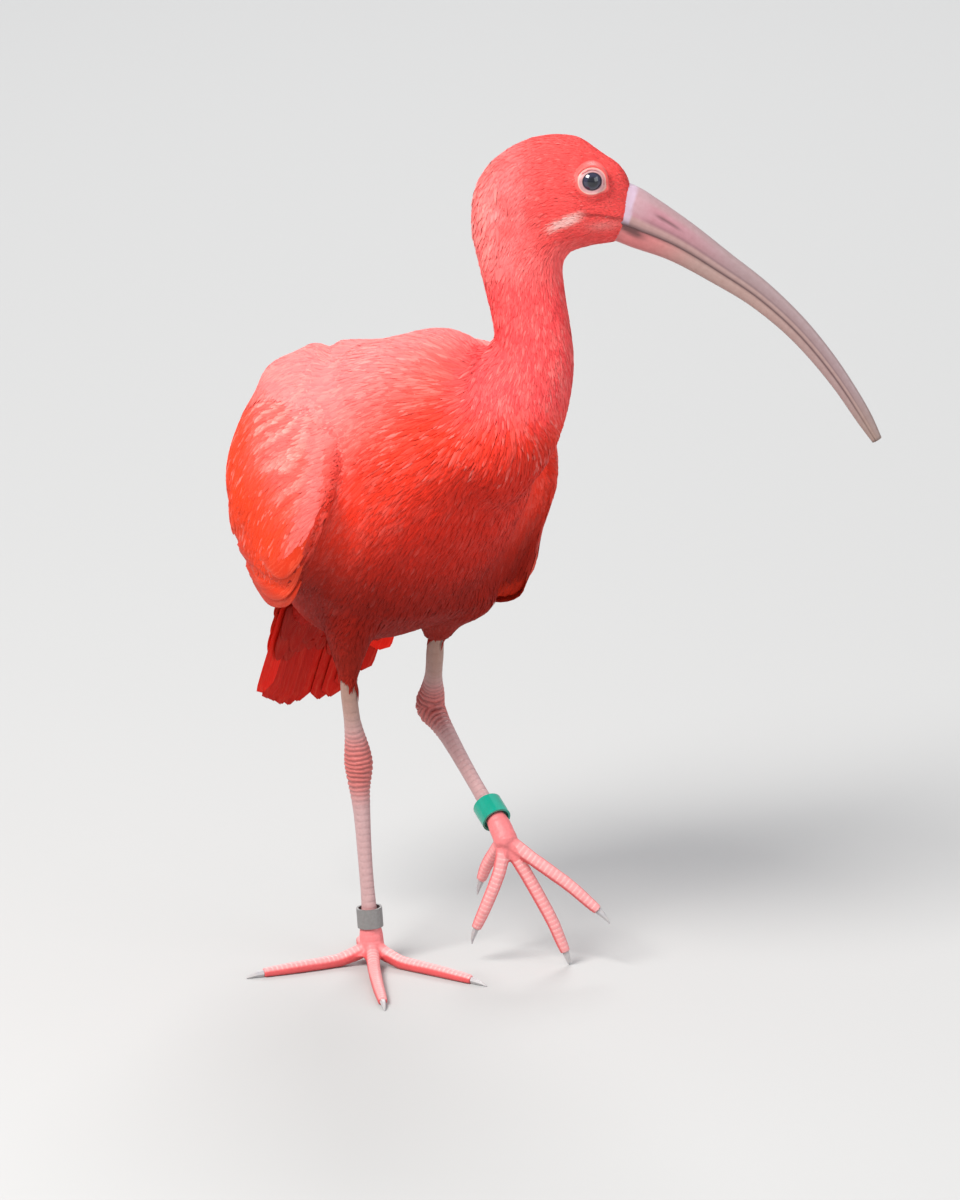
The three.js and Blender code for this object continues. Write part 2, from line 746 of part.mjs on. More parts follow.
// Toes: the knuckle is the leg's end; each toe has its bends and tip, and the share that is claw
const TOE_RADIUS = [3.7, 3.2, 2.9, 2.6, 2];
const RIGHT_TOES = {
  outer: [[-2.5, -28, 3], [-5, -49, 2.3], [-9.3, -74, 1.4]],
  middle: [[14, -20.5, 3.2], [38, -33, 2.3], [65, -46, 1.5]],
  inner: [[14, -7, 3.2], [34, 2, 2.3], [58.6, 12.6, 1.4]],
  hind: [[-9, -10.5, 5], [-18, -6.5, 2.5], [-30, -1, 1.4]],
};
const LEFT_TOES = {
  outer: [[45, 47, 55], [58, 61, 42], [69.5, 75.5, 26]],
  middle: [[42, 46.5, 47], [49.5, 56.5, 24], [53.5, 65, 1.4]],
  inner: [[37, 36, 48], [33.5, 31, 31], [27.2, 27, 14]],
  hind: [[27, 39, 53], [21.5, 38.2, 45.5], [16, 37.7, 35]],
};
const PALM_SHARE = 0.27;
const CLAW_SHARE = 0.88;

function toeLimb(knuckle, bends) {
  const places = [knuckle, ...bends];
  places.splice(3, 0, bends[1].map((v, i) => lerp(v, bends[2][i], 0.5)));
  const stations = places.map((place, i) => [...place, TOE_RADIUS[i] * 0.95, TOE_RADIUS[i]]);
  const along = new THREE.Vector3(...bends[2]).sub(new THREE.Vector3(...knuckle));
  const sideways = new THREE.Vector3().crossVectors(along, up).normalize();
  return new Limb(stations, sideways, 8);
}

function clawRings(toe) {
  const { place, tangent, side } = toe.frame(CLAW_SHARE);
  const over = new THREE.Vector3().crossVectors(tangent, side);
  const drop = over.z > 0 ? -1 : 1;
  const rings = [];
  for (const [forward, radius, fall] of [[0, 1.75, 0], [3, 1.5, 0.1], [6, 0.95, 0.5], [8.6, 0.35, 1.2]]) {
    rings.push(Array.from({ length: 6 }, (_, i) => {
      const angle = i / 6 * 2 * Math.PI;
      const point = place.clone()
        .addScaledVector(tangent, forward + GAP)
        .addScaledVector(side, Math.cos(angle) * radius * 0.9)
        .addScaledVector(over, Math.sin(angle) * radius + drop * fall);
      point.z = Math.max(point.z, 0);
      return point;
    }));
  }
  return rings;
}

// A web: a thin plate between two toes, its free edge drawn in
function web(knuckle, toeA, toeB) {
  const reach = PALM_SHARE - 0.02;
  const a = toeA.curve.getPoint(reach);
  const b = toeB.curve.getPoint(reach);
  const root = knuckle.clone();
  const inset = a.clone().add(b).multiplyScalar(0.5).lerp(root, 0.35);
  const normal = a.clone().sub(root).cross(b.clone().sub(root)).normalize();
  if (normal.z < 0) normal.negate();
  const outline = [root, a, inset, b];
  const rings = [-0.5, 0.7].map((offset) => outline.map((p) => p.clone().addScaledVector(normal, offset)));
  return loft(rings);
}

function addFoot(label, legEnd, toes) {
  const knuckle = legEnd.slice(0, 3);
  const centre = new THREE.Vector3(...knuckle);
  const limbs = Object.fromEntries(
    Object.entries(toes).map(([name, bends]) => [name, toeLimb(knuckle, bends)]));
  const palm = [new THREE.SphereGeometry(5.6, 9, 6).translate(...knuckle)];
  for (const limb of Object.values(limbs)) palm.push(limb.solid(0, PALM_SHARE, 2, { floor: 0 }));
  palm.push(web(centre, limbs.outer, limbs.middle), web(centre, limbs.middle, limbs.inner));
  for (const [name, limb] of Object.entries(limbs)) {
    const cuts = { floor: 0, startCut: GAP, endCut: 0 };
    addNode(`toe_${label}_${name}`, limb.solid(PALM_SHARE, CLAW_SHARE, 6, cuts), LEG_PINK);
    addNode(`claw_${label}_${name}`, loft(clawRings(limb)), CLAW_BONE);
  }
  return join(palm);
}

function addLeg(label, stations, toes) {
  const leg = new Limb(stations, left, 12);
  const torso = toSolid(torsoSolid(GAP));
  for (const [part, from, to, steps] of LEG_PARTS) {
    const ends = { startCut: from ? GAP / 2 : 0, endCut: GAP / 2 };
    const shape = leg.solid(from, to, steps, ends);
    const geometry = part === 'thigh' ? fromSolid(toSolid(shape).subtract(torso)) : shape;
    addNode(`${part}_${label}`, geometry, part === 'thigh' ? SCARLET : LEG_PINK);
  }
  const palm = addFoot(label, stations.at(-1), toes);
  const ankle = toSolid(leg.solid(0.9, 1, 4, { startCut: GAP / 2, floor: 0 }));
  const { place, tangent } = leg.frame(0.9);
  const top = cutSlab(place.clone().addScaledVector(tangent, -3), tangent, 12);
  addNode(`foot_${label}`, fromSolid(palm.add(ankle).subtract(top), 0.08), LEG_PINK);
  return leg;
}

// A loose leg ring, its wall drawn as a closed profile
function addRing(name, leg, share, innerRadius, height, finish) {
  const half = height / 2;
  const outer = innerRadius + RING_WALL;
  const profile = [[innerRadius, -half], [outer, -half], [outer, half], [innerRadius, half], [innerRadius, -half]];
  const band = new THREE.LatheGeometry(profile.map(([x, y]) => new THREE.Vector2(x, y)), 24);
  const { place, tangent } = leg.frame(share);
  band.applyQuaternion(new THREE.Quaternion().setFromUnitVectors(new THREE.Vector3(0, 1, 0), tangent.negate()));
  band.translate(...place.toArray());
  addNode(name, fromSolid(toSolid(band)), finish);
}

addTorsoNeckAndHead();
addBill();
addWingsAndTail();
const rightLeg = addLeg('right', RIGHT_LEG, RIGHT_TOES);
const leftLeg = addLeg('left', LEFT_LEG, LEFT_TOES);
addRing('ring_grey_right', rightLeg, 0.862, 5.2, RING_HEIGHT, GREY_METAL);
addRing('ring_green_left', leftLeg, 0.855, 6.2, RING_HEIGHT + 1.5, GREEN_PLASTIC);

// The origin sits under the middle of the whole, on the floor.
const box = new THREE.Box3().setFromObject(model);
model.position.set(-(box.min.x + box.max.x) / 2, -(box.min.y + box.max.y) / 2, -box.min.z);

export default ibis;
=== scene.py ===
import math

import bpy
import numpy as np
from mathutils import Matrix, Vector, noise
from mathutils.bvhtree import BVHTree


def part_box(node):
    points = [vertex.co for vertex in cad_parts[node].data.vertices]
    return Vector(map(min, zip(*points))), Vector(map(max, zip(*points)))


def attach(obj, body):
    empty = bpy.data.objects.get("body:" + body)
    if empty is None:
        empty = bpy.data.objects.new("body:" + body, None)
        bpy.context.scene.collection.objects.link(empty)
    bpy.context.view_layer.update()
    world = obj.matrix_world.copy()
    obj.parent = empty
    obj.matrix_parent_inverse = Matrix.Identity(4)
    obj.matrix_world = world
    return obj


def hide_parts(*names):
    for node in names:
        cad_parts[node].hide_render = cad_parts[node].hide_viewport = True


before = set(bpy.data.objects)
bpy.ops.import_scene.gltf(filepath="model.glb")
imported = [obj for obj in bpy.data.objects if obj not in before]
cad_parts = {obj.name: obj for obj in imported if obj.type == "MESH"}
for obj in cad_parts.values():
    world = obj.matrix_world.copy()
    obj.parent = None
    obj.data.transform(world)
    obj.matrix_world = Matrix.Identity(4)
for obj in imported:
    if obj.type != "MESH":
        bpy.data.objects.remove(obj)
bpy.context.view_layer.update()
rng = np.random.default_rng(11)

# Sizes are in millimetres about the bird: +X is its heading, +Y its left, the floor is at 0
TORSO_CENTRE = np.array([0.0, 0.0, 236.0])
PITCH = math.radians(50)
YAW = math.radians(58)
HEAD_ORIGIN = np.array([16.5, -24.8, -2.5])
EYE_PLACE = (104.8, 13.2, 399.0)
EYE_RADIUS = 5.8
# The direction that the photograph is taken from
VIEW_AZIMUTH, VIEW_ELEVATION = math.radians(58), math.radians(17)
VIEW_CENTRE = (-12.4, 55.65, 165.92)
VIEW_DISTANCE = 9.0

LEFT = np.array([0.0, 1.0, 0.0])
UP = np.array([0.0, 0.0, 1.0])
BODY_AXIS = np.array([math.cos(PITCH), 0.0, math.sin(PITCH)])
BODY_BACK = np.array([-math.sin(PITCH), 0.0, math.cos(PITCH)])
HEAD_AXIS = np.array([math.cos(YAW), math.sin(YAW), 0.0])
HEAD_LEFT = np.array([-math.sin(YAW), math.cos(YAW), 0.0])


def column(values):
    return np.asarray(values, float)[..., None]


def body_place(along, side, dorsal):
    return TORSO_CENTRE + column(along) * BODY_AXIS + column(side) * LEFT + column(dorsal) * BODY_BACK


def head_place(forward, side, height):
    return HEAD_ORIGIN + column(forward) * HEAD_AXIS + column(side) * HEAD_LEFT + column(height) * UP


def body_coordinates(points):
    offset = points - TORSO_CENTRE
    return offset @ BODY_AXIS, offset @ LEFT, offset @ BODY_BACK


def head_coordinates(points):
    offset = points - HEAD_ORIGIN
    return offset @ HEAD_AXIS, offset @ HEAD_LEFT, offset @ UP


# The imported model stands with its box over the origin: its right eye gives how far it was moved
SHIFT = np.mean([list(corner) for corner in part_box("eye_right")], axis=0) * 1000
SHIFT = SHIFT - head_place(EYE_PLACE[0], -EYE_PLACE[1], EYE_PLACE[2])


def to_frame(points):
    return (np.asarray(points, float) + SHIFT) / 1000


def to_bird(points):
    return np.asarray(points, float) * 1000 - SHIFT


def unit(vectors):
    return vectors / np.maximum(np.linalg.norm(vectors, axis=-1, keepdims=True), 1e-9)


def smoothstep(low, high, value):
    t = np.clip((value - low) / (high - low), 0, 1)
    return t * t * (3 - 2 * t)


def mix(a, b, share):
    return a + (b - a) * share


def hump(value, centre, size, power=2):
    """1 where the value is at the centre, falling to 0 on both sides of it."""
    return np.exp(-(((value - centre) / size) ** power))


def rgb(*parts):
    return np.array(parts, float)


def whole_turn(count):
    return np.linspace(0, 2 * math.pi, count, endpoint=False)


# Camera, light and floor

# Lamps that look at the bird's middle: name, place in metres, power, size and colour
LAMPS = [("key_light", (0.5, -1.9, 2.3), 112, 1.3, (1, 0.98, 0.95)),
         ("fill_light", (2.3, 1.1, 1.0), 22, 1.8, (0.93, 0.97, 1)),
         ("rim_light", (-1.8, 1.2, 1.9), 34, 1.2, (1, 1, 1))]


def set_the_stage():
    scene = bpy.context.scene
    scene.view_settings.view_transform = "Standard"
    level = math.cos(VIEW_ELEVATION)
    back = np.array([math.sin(VIEW_AZIMUTH) * level, -math.cos(VIEW_AZIMUTH) * level,
                     math.sin(VIEW_ELEVATION)])
    bpy.ops.object.camera_add(location=Vector(to_frame(VIEW_CENTRE) + VIEW_DISTANCE * back),
                              rotation=(math.pi / 2 - VIEW_ELEVATION, 0, VIEW_AZIMUTH))
    camera = bpy.context.object
    camera.data.sensor_fit = "VERTICAL"
    camera.data.sensor_height = 36
    camera.data.lens = 567
    camera.data.clip_end = 100
    scene.camera = camera

    for name, place, energy, size, colour in LAMPS:
        bpy.ops.object.light_add(type="AREA", location=place)
        light = bpy.context.object
        light.name = name
        light.data.energy = energy
        light.data.size = size
        light.data.color = colour
        light.rotation_euler = (Vector((0, 0, 0.22)) - light.location).to_track_quat("-Z", "Y").to_euler()
    world = bpy.data.worlds.new("studio")
    world.use_nodes = True
    world.node_tree.nodes["Background"].inputs["Color"].default_value = (0.93, 0.95, 1, 1)
    world.node_tree.nodes["Background"].inputs["Strength"].default_value = 0.55
    scene.world = world

    bpy.ops.mesh.primitive_plane_add(size=60, location=(0, 0, -0.0002))
    floor = bpy.context.object
    floor.name = "floor"
    bpy.ops.object.transform_apply(location=True)
    finish = Finish("floor_paper", roughness=0.9)
    finish.colour((0.47, 0.47, 0.465))
    finish.wear(floor)


# Finishes

class Value:
    """A shader socket that can be used in sums."""

    def __init__(self, finish, socket):
        self.finish = finish
        self.socket = socket

    def combined(self, operation, first, second):
        node = self.finish.node("ShaderNodeMath", {"operation": operation}, {0: first, 1: second})
        return Value(self.finish, node.outputs[0])

    def __add__(self, other):
        return self.combined("ADD", self, other)

    def __radd__(self, other):
        return self.combined("ADD", other, self)

    def __sub__(self, other):
        return self.combined("SUBTRACT", self, other)

    def __rsub__(self, other):
        return self.combined("SUBTRACT", other, self)

    def __mul__(self, other):
        return self.combined("MULTIPLY", self, other)

    def __rmul__(self, other):
        return self.combined("MULTIPLY", other, self)

    def __truediv__(self, other):
        return self.combined("DIVIDE", self, other)

    def __pow__(self, other):
        return self.combined("POWER", self, other)


class Finish:
    """A material and the few ways its nodes are made."""

    def __init__(self, name, roughness=0.5, **settings):
        self.material = bpy.data.materials.new(name)
        self.material.use_nodes = True
        self.tree = self.material.node_tree
        self.shader = self.tree.nodes["Principled BSDF"]
        self.shader.inputs["Roughness"].default_value = roughness
        for socket, value in settings.items():
            self.shader.inputs[socket.replace("_", " ")].default_value = value

    def node(self, kind, settings=None, inputs=None):
        node = self.tree.nodes.new(kind)
        for key, value in (settings or {}).items():
            setattr(node, key, value)
        for key, value in (inputs or {}).items():
            self.feed(node.inputs[key], value)
        return node

    def feed(self, socket, value):
        if isinstance(value, Value):
            value = value.socket
        if isinstance(value, bpy.types.NodeSocket):
            self.tree.links.new(value, socket)
        else:
            socket.default_value = value

    def colour(self, value):
        if isinstance(value, tuple) and len(value) == 3:
            value = (*value, 1)
        self.feed(self.shader.inputs["Base Color"], value)

    def place(self):
        return self.node("ShaderNodeTexCoord").outputs["Object"]

    def attribute(self, name):
        return self.node("ShaderNodeAttribute", {"attribute_name": name}).outputs["Color"]

    def lie(self):
        """Across and along the feather or scale, each from 0 to 1."""
        node = self.node("ShaderNodeUVMap", {"uv_map": "Lie"})
        parts = self.node("ShaderNodeSeparateXYZ", {}, {0: node.outputs[0]})
        return Value(self, parts.outputs[0]), Value(self, parts.outputs[1])

    def single(self, operation, value):
        """A Math node with one input."""
        return Value(self, self.node("ShaderNodeMath", {"operation": operation}, {0: value}).outputs[0])

    def clamped(self, value):
        return self.node("ShaderNodeClamp", {}, {0: value}).outputs[0]

    def speckle(self, scale, detail=2.0, vector=None):
        node = self.node("ShaderNodeTexNoise", {}, {"Vector": vector or self.place(),
                                                    "Scale": scale, "Detail": detail})
        return Value(self, node.outputs[0])

    def blend(self, first, second, share, kind="MIX"):
        node = self.tree.nodes.new("ShaderNodeMix")
        node.data_type = "RGBA"
        node.blend_type = kind
        for name, value in (("Factor_Float", share), ("A_Color", first), ("B_Color", second)):
            socket = next(s for s in node.inputs if s.identifier == name)
            if isinstance(value, tuple) and len(value) == 3:
                value = (*value, 1)
            self.feed(socket, value)
        return next(s for s in node.outputs if s.identifier == "Result_Color")

    def bump(self, height, strength, distance):
        node = self.node("ShaderNodeBump", {}, {"Height": height, "Strength": strength, "Distance": distance})
        self.feed(self.shader.inputs["Normal"], node.outputs[0])

    def wear(self, piece):
        piece.data.materials.clear()
        piece.data.materials.append(self.material)


def plumage_finish(name, roughness, barb, strands, streaks=0.0):
    """Red feathers: the tint painted on each, with fine slanting barbs and a soft mottling."""
    finish = Finish(name, roughness, Specular_IOR_Level=0.1)
    across, along = finish.lie()
    slant = (along - finish.single("ABSOLUTE", across - 0.5) * 0.5) * barb + across * strands
    lines = finish.single("SINE", slant) * 0.5 + 0.5
    mottle = finish.speckle(260.0, 3.0)
    tint = finish.attribute("Tint")
    deep = finish.blend(tint, (0.62, 0.5, 0.45), 1.0, "MULTIPLY")
    share = (1 - lines) * 0.16 + (1 - mottle) * 0.28
    colour = finish.blend(tint, deep, share)
    if streaks:
        lengthwise = finish.node("ShaderNodeCombineXYZ", {}, {0: across * 11.0 + mottle * 2.0, 1: along * 1.3,
                                                              2: finish.speckle(30.0, 0.0) * 9.0})
        streak = finish.speckle(1.0, 2.0, lengthwise.outputs[0]) * 2.6 - 1.25
        pale = finish.blend(tint, (1, 0.3, 0.17), 0.22)
        colour = finish.blend(colour, pale, finish.clamped(streak * streaks))
    finish.colour(colour)
    finish.bump(lines, 0.35, 0.0002)
    return finish


def flesh_finish(name, roughness, scale, depth):
    """Bare skin or horn: the painted tint with a fine grain."""
    finish = Finish(name, roughness)
    grain = finish.speckle(scale, 4.0)
    tint = finish.attribute("Tint")
    deep = finish.blend(tint, (0.72, 0.6, 0.58), 1.0, "MULTIPLY")
    finish.colour(finish.blend(tint, deep, grain * 0.7))
    finish.feed(finish.shader.inputs["Roughness"], grain * 0.2 + (roughness - 0.1))
    finish.bump(grain, 0.5, depth)
    return finish


# Making pieces

FINISHES = {}


def only(piece):
    bpy.ops.object.select_all(action="DESELECT")
    piece.select_set(True)
    bpy.context.view_layer.objects.active = piece


def apply_modifier(piece, kind, **settings):
    only(piece)
    modifier = piece.modifiers.new("shape", kind)
    for key, value in settings.items():
        setattr(modifier, key, value)
    bpy.ops.object.modifier_apply(modifier=modifier.name)


def ready(piece, finish, slot, *nodes):
    """The piece wears that finish, rides on the bird and stands for those solids. The slot is not used."""
    FINISHES[finish].wear(piece)
    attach(piece, "root")
    if nodes:
        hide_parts(*nodes)


def points_of(piece):
    return to_bird(numbers_of(piece.data.vertices, "co", 3, np.float32))


def normals_of(piece):
    return numbers_of(piece.data.vertex_normals, "vector", 3, np.float32).astype(float)


def numbers_of(items, name, per_item, kind):
    """One property of all of a mesh's points, faces or corners, as an array."""
    flat = np.empty(len(items) * per_item, kind)
    items.foreach_get(name, flat)
    return flat if per_item == 1 else flat.reshape(-1, per_item)


def move_points(piece, points):
    piece.data.vertices.foreach_set("co", to_frame(points).astype(np.float32).ravel())
    piece.data.update()


def tint(piece, colours):
    layer = piece.data.color_attributes.new("Tint", "FLOAT_COLOR", "POINT")
    rgba = np.ones((len(colours), 4), np.float32)
    rgba[:, :3] = np.clip(colours, 0, 1)
    layer.data.foreach_set("color", rgba.ravel())


def lay_uv(piece, name, per_point):
    """A UV map from one pair of numbers for each point."""
    layer = piece.data.uv_layers.get(name) or piece.data.uv_layers.new(name=name)
    corners = numbers_of(piece.data.loops, "vertex_index", 1, np.int32)
    layer.data.foreach_set("uv", np.asarray(per_point, np.float32)[corners].ravel())


def from_arrays(name, points, faces):
    """A smooth mesh from points and from arrays of faces of three or four corners."""
    mesh = bpy.data.meshes.new(name)
    corners = np.concatenate([group.ravel() for group in faces]).astype(np.int32)
    sizes = np.concatenate([np.full(len(group), group.shape[1], np.int32) for group in faces])
    starts = np.concatenate([[0], np.cumsum(sizes)[:-1]]).astype(np.int32)
    mesh.vertices.add(len(points))
    mesh.vertices.foreach_set("co", to_frame(points).astype(np.float32).ravel())
    mesh.loops.add(len(corners))
    mesh.loops.foreach_set("vertex_index", corners)
    mesh.polygons.add(len(sizes))
    mesh.polygons.foreach_set("loop_start", starts)
    mesh.polygons.foreach_set("use_smooth", np.ones(len(sizes), bool))
    mesh.update(calc_edges=True)
    piece = bpy.data.objects.new(name, mesh)
    bpy.context.scene.collection.objects.link(piece)
    return piece


def edit_all(piece, operator, **settings):
    """An edit mode operator on the whole of a mesh."""
    only(piece)
    bpy.ops.object.mode_set(mode="EDIT")
    bpy.ops.mesh.select_all(action="SELECT")
    operator(**settings)
    bpy.ops.object.mode_set(mode="OBJECT")


def lofted(name, rings, start, end):
    """A closed round form through the rings, with a pole at each end: the piece, and for each of its points
    the place from end to end and round the form, both from 0 to 1."""
    rings = np.asarray(rings, float)
    count, around = rings.shape[:2]
    here = np.arange(count * around).reshape(count, around)
    beside = np.roll(here, -1, axis=1)
    first, last = np.full(around, here.size), np.full(around, here.size + 1)
    quads = np.stack([here[:-1], beside[:-1], beside[1:], here[1:]], -1).reshape(-1, 4)
    caps = [np.stack([first, beside[0], here[0]], -1), np.stack([last, here[-1], beside[-1]], -1)]
    piece = from_arrays(name, np.concatenate([rings.reshape(-1, 3), [start, end]]), [quads, *caps])
    outward(piece)
    row = np.append(np.repeat(np.arange(1, count + 1), around), [0, count + 1]) / (count + 1)
    turn = np.append(np.tile(np.arange(around), count), [0, 0]) / around
    lay_uv(piece, "Lie", np.stack([turn, row], axis=1))
    return piece, row, turn


def joined_copy(sources, name):
    """One new mesh from copies of some objects, which are left as they are."""
    bpy.ops.object.select_all(action="DESELECT")
    for source in sources:
        twin = source.copy()
        twin.data = source.data.copy()
        twin.parent = None
        for key in list(twin.keys()):
            del twin[key]
        bpy.context.scene.collection.objects.link(twin)
        twin.hide_render = False
        twin.select_set(True)
        bpy.context.view_layer.objects.active = twin
    bpy.ops.object.join()
    piece = bpy.context.object
    piece.name = name
    return piece


def copy_of(names, name, voxel, rounds):
    """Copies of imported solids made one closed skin, with their facets smoothed away."""
    piece = joined_copy([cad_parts[node] for node in names], name)
    edit_all(piece, bpy.ops.mesh.remove_doubles, threshold=1e-6)
    apply_modifier(piece, "DISPLACE", strength=0.0004, mid_level=0.0)
    apply_modifier(piece, "REMESH", mode="VOXEL", voxel_size=voxel / 1000)
    apply_modifier(piece, "SMOOTH", factor=0.5, iterations=rounds)
    bpy.ops.object.shade_smooth()
    return piece


# Tables read by place

def rounded(stations, along):
    """A table's row at any place along, on a smooth curve through its rows."""
    rows = np.asarray(stations, float)
    rows = rows[np.argsort(rows[:, 0])]
    along = np.clip(np.asarray(along, float), rows[0, 0], rows[-1, 0])
    slopes = np.gradient(rows[:, 1:], rows[:, 0], axis=0)
    right = np.clip(np.searchsorted(rows[:, 0], along), 1, len(rows) - 1)
    low, high = rows[right - 1], rows[right]
    width = column(high[..., 0] - low[..., 0])
    t = column(along - low[..., 0]) / width
    return ((2 * t**3 - 3 * t**2 + 1) * low[..., 1:] + (t**3 - 2 * t**2 + t) * width * slopes[right - 1]
            + (3 * t**2 - 2 * t**3) * high[..., 1:] + (t**3 - t**2) * width * slopes[right])


def straight(stations, along):
    rows = np.asarray(stations, float)
    rows = rows[np.argsort(rows[:, 0])]
    return np.stack([np.interp(along, rows[:, 0], rows[:, k]) for k in range(1, rows.shape[1])], axis=-1)


# Skin and its markings

FLESH = ("torso", "neck_lower", "neck_upper", "head", "thigh_right", "thigh_left")
NECK_LINE = head_place(*np.array([(62, -28, 280), (73, -26, 294), (79, -22, 311), (78, -17, 325),
                                  (75.5, -12, 339), (72.5, -7, 355), (72, -3, 370), (76, 0, 384)]).T)
NECK_ROOT = np.array([70.0, 12.0, 282.0])
NECK_FOOT = np.array([66.0, -18.0, 258.0])
NECK_CREASE = np.array([(90, -20, 279), (88, -17, 273), (83, -13, 261), (82, -6, 253), (79, 4, 244),
                        (70, 17, 238)], float)
EYES = [head_place(EYE_PLACE[0], side * EYE_PLACE[1], EYE_PLACE[2]) for side in (-1, 1)]

SCARLET_HEAD = rgb(0.94, 0.088, 0.085)
SCARLET_NECK = rgb(0.94, 0.080, 0.086)
SCARLET_BACK = rgb(0.95, 0.205, 0.205)
SCARLET_BREAST = rgb(0.90, 0.042, 0.019)
# The belly's and thighs' dark reds are partly their own deeper red and partly painted shade under the body
BELLY_RED_AND_SHADE = rgb(0.29, 0.009, 0.003)
THIGH_RED_AND_SHADE = rgb(0.30, 0.015, 0.007)
PALE_PINK = rgb(0.93, 0.40, 0.35)
WHITE_PINK = rgb(0.92, 0.62, 0.58)


def region_shares(points):
    """How far each point belongs to the head, neck, belly and thighs."""
    along, _, dorsal = body_coordinates(points)
    near_neck = from_nearest(points, NECK_LINE)
    head = smoothstep(350, 372, points[:, 2])
    neck = smoothstep(283, 306, points[:, 2]) * (1 - smoothstep(24, 36, near_neck)) * (1 - head)
    thigh = smoothstep(178, 160, points[:, 2]) * smoothstep(-62, -46, along - dorsal * 0.3)
    belly = smoothstep(8, -38, dorsal) * smoothstep(52, -14, along) * (1 - head) * (1 - neck)
    return head, neck, belly, thigh


def from_nearest(points, places):
    """How far each point is from the nearest of some places."""
    return np.min([np.linalg.norm(points - place, axis=1) for place in places], axis=0)


def swelling(points, place, size):
    """1 at a place, falling softly to 0 over about twice that size."""
    return hump(np.linalg.norm(points - np.array(place, float), axis=1), 0, size)


def eye_look(side):
    return unit(side * HEAD_LEFT + 0.16 * HEAD_AXIS + 0.04 * UP)


def patches(points, size):
    """A soft noise from -1 to 1 that makes feathers of one place alike."""
    return np.array([noise.noise(Vector(p / size)) for p in points])


def markings(points):
    """The plumage's colour at each point, and the share of pale feathers there."""
    head, neck, belly, thigh = region_shares(points)
    forward, side, height = head_coordinates(points)
    _, across, dorsal = body_coordinates(points)
    back = smoothstep(-30, 24, dorsal)
    base = mix(SCARLET_BREAST, SCARLET_BACK, column(back))
    # Painted shade: a deep red over the lower front of the breast, below a slanting line, for the shade under
    # the neck and breast. The pale haze is held back there too
    painted_shade = smoothstep(-34, -54, dorsal) * smoothstep(-56, -34, across)
    base = mix(base, rgb(0.56, 0.016, 0.008), column(0.75 * painted_shade))
    # The belly and thighs take their dark reds, which are partly painted shade under the body
    base = mix(base, BELLY_RED_AND_SHADE, column(belly))
    base = mix(base, THIGH_RED_AND_SHADE, column(thigh))
    base = mix(base, SCARLET_NECK, column(neck))
    base = mix(base, SCARLET_HEAD, column(head))
    pale = mix(0.16, 0.42, back) * (1 - 0.8 * belly) * (1 - 0.9 * thigh)
    pale = mix(pale, 0.22, neck)
    pale = mix(pale, 0.06, head)
    nape = smoothstep(66, 56, forward - (height - 385) * 0.05) * smoothstep(340, 362, height)
    pale = np.maximum(pale, nape * 0.6)
    cheek = smoothstep(6, 11, np.abs(side))
    malar = hump(forward, 95, 7.5, 4) * hump(height - (forward - 95) * 0.36, 379.8, 2.9, 4) * cheek
    ear = hump(forward, 79, 5) * hump(height, 391, 4) * cheek
    pale = np.maximum(pale, np.maximum(malar, ear * 0.5))
    line = np.interp(forward, [100, 110.5, 117, 124], [383, 382, 380, 377.6])
    gape = hump(height, line, 0.75) * smoothstep(98, 104, forward) * smoothstep(5, 9, np.abs(side))
    base = base * (1 - 0.55 * column(gape))
    rear = smoothstep(88, 66, forward) * head * (0.55 + 0.45 * patches(points, 8.0))
    base = mix(base, rgb(0.94, 0.34, 0.34), column(np.clip(0.6 * rear, 0, 1)))
    chin = hump(forward, 112, 8) * hump(height, 376.5, 2.6) * head
    base = mix(base, rgb(0.88, 0.30, 0.28), column(0.6 * chin))
    throat = hump(height, 322, 16) * hump(forward, 92, 12)
    pale = np.maximum(pale, throat * 0.4)
    haze = np.clip(0.5 + patches(points, 5.0) + 0.6 * patches(points + 90, 2.5), 0, 1) ** 2
    base = mix(base, PALE_PINK, column(haze * 0.75 * pale * (1 - malar) * (1 - 0.8 * painted_shade)))
    return base, pale, malar


def lie_at(points, normals):
    """The way that the coat points at each place: back over the head, down the neck, back over the
    shoulders and down the body."""
    head, neck, _, thigh = region_shares(points)
    forward = head_coordinates(points)[0]
    out = points - NECK_ROOT
    spread = 3.2 * hump(np.linalg.norm(out, axis=1), 0, 48)
    way = -BODY_AXIS + unit(out) * column(spread)
    way = mix(way, -UP, column(thigh))
    way = mix(way, -UP, column(neck))
    down = column(smoothstep(102, 54, forward))
    way = mix(way, -HEAD_AXIS * (1 - 0.8 * down) - UP * (0.1 + down), column(head))
    way = way - column((way * normals).sum(1)) * normals
    return unit(way)


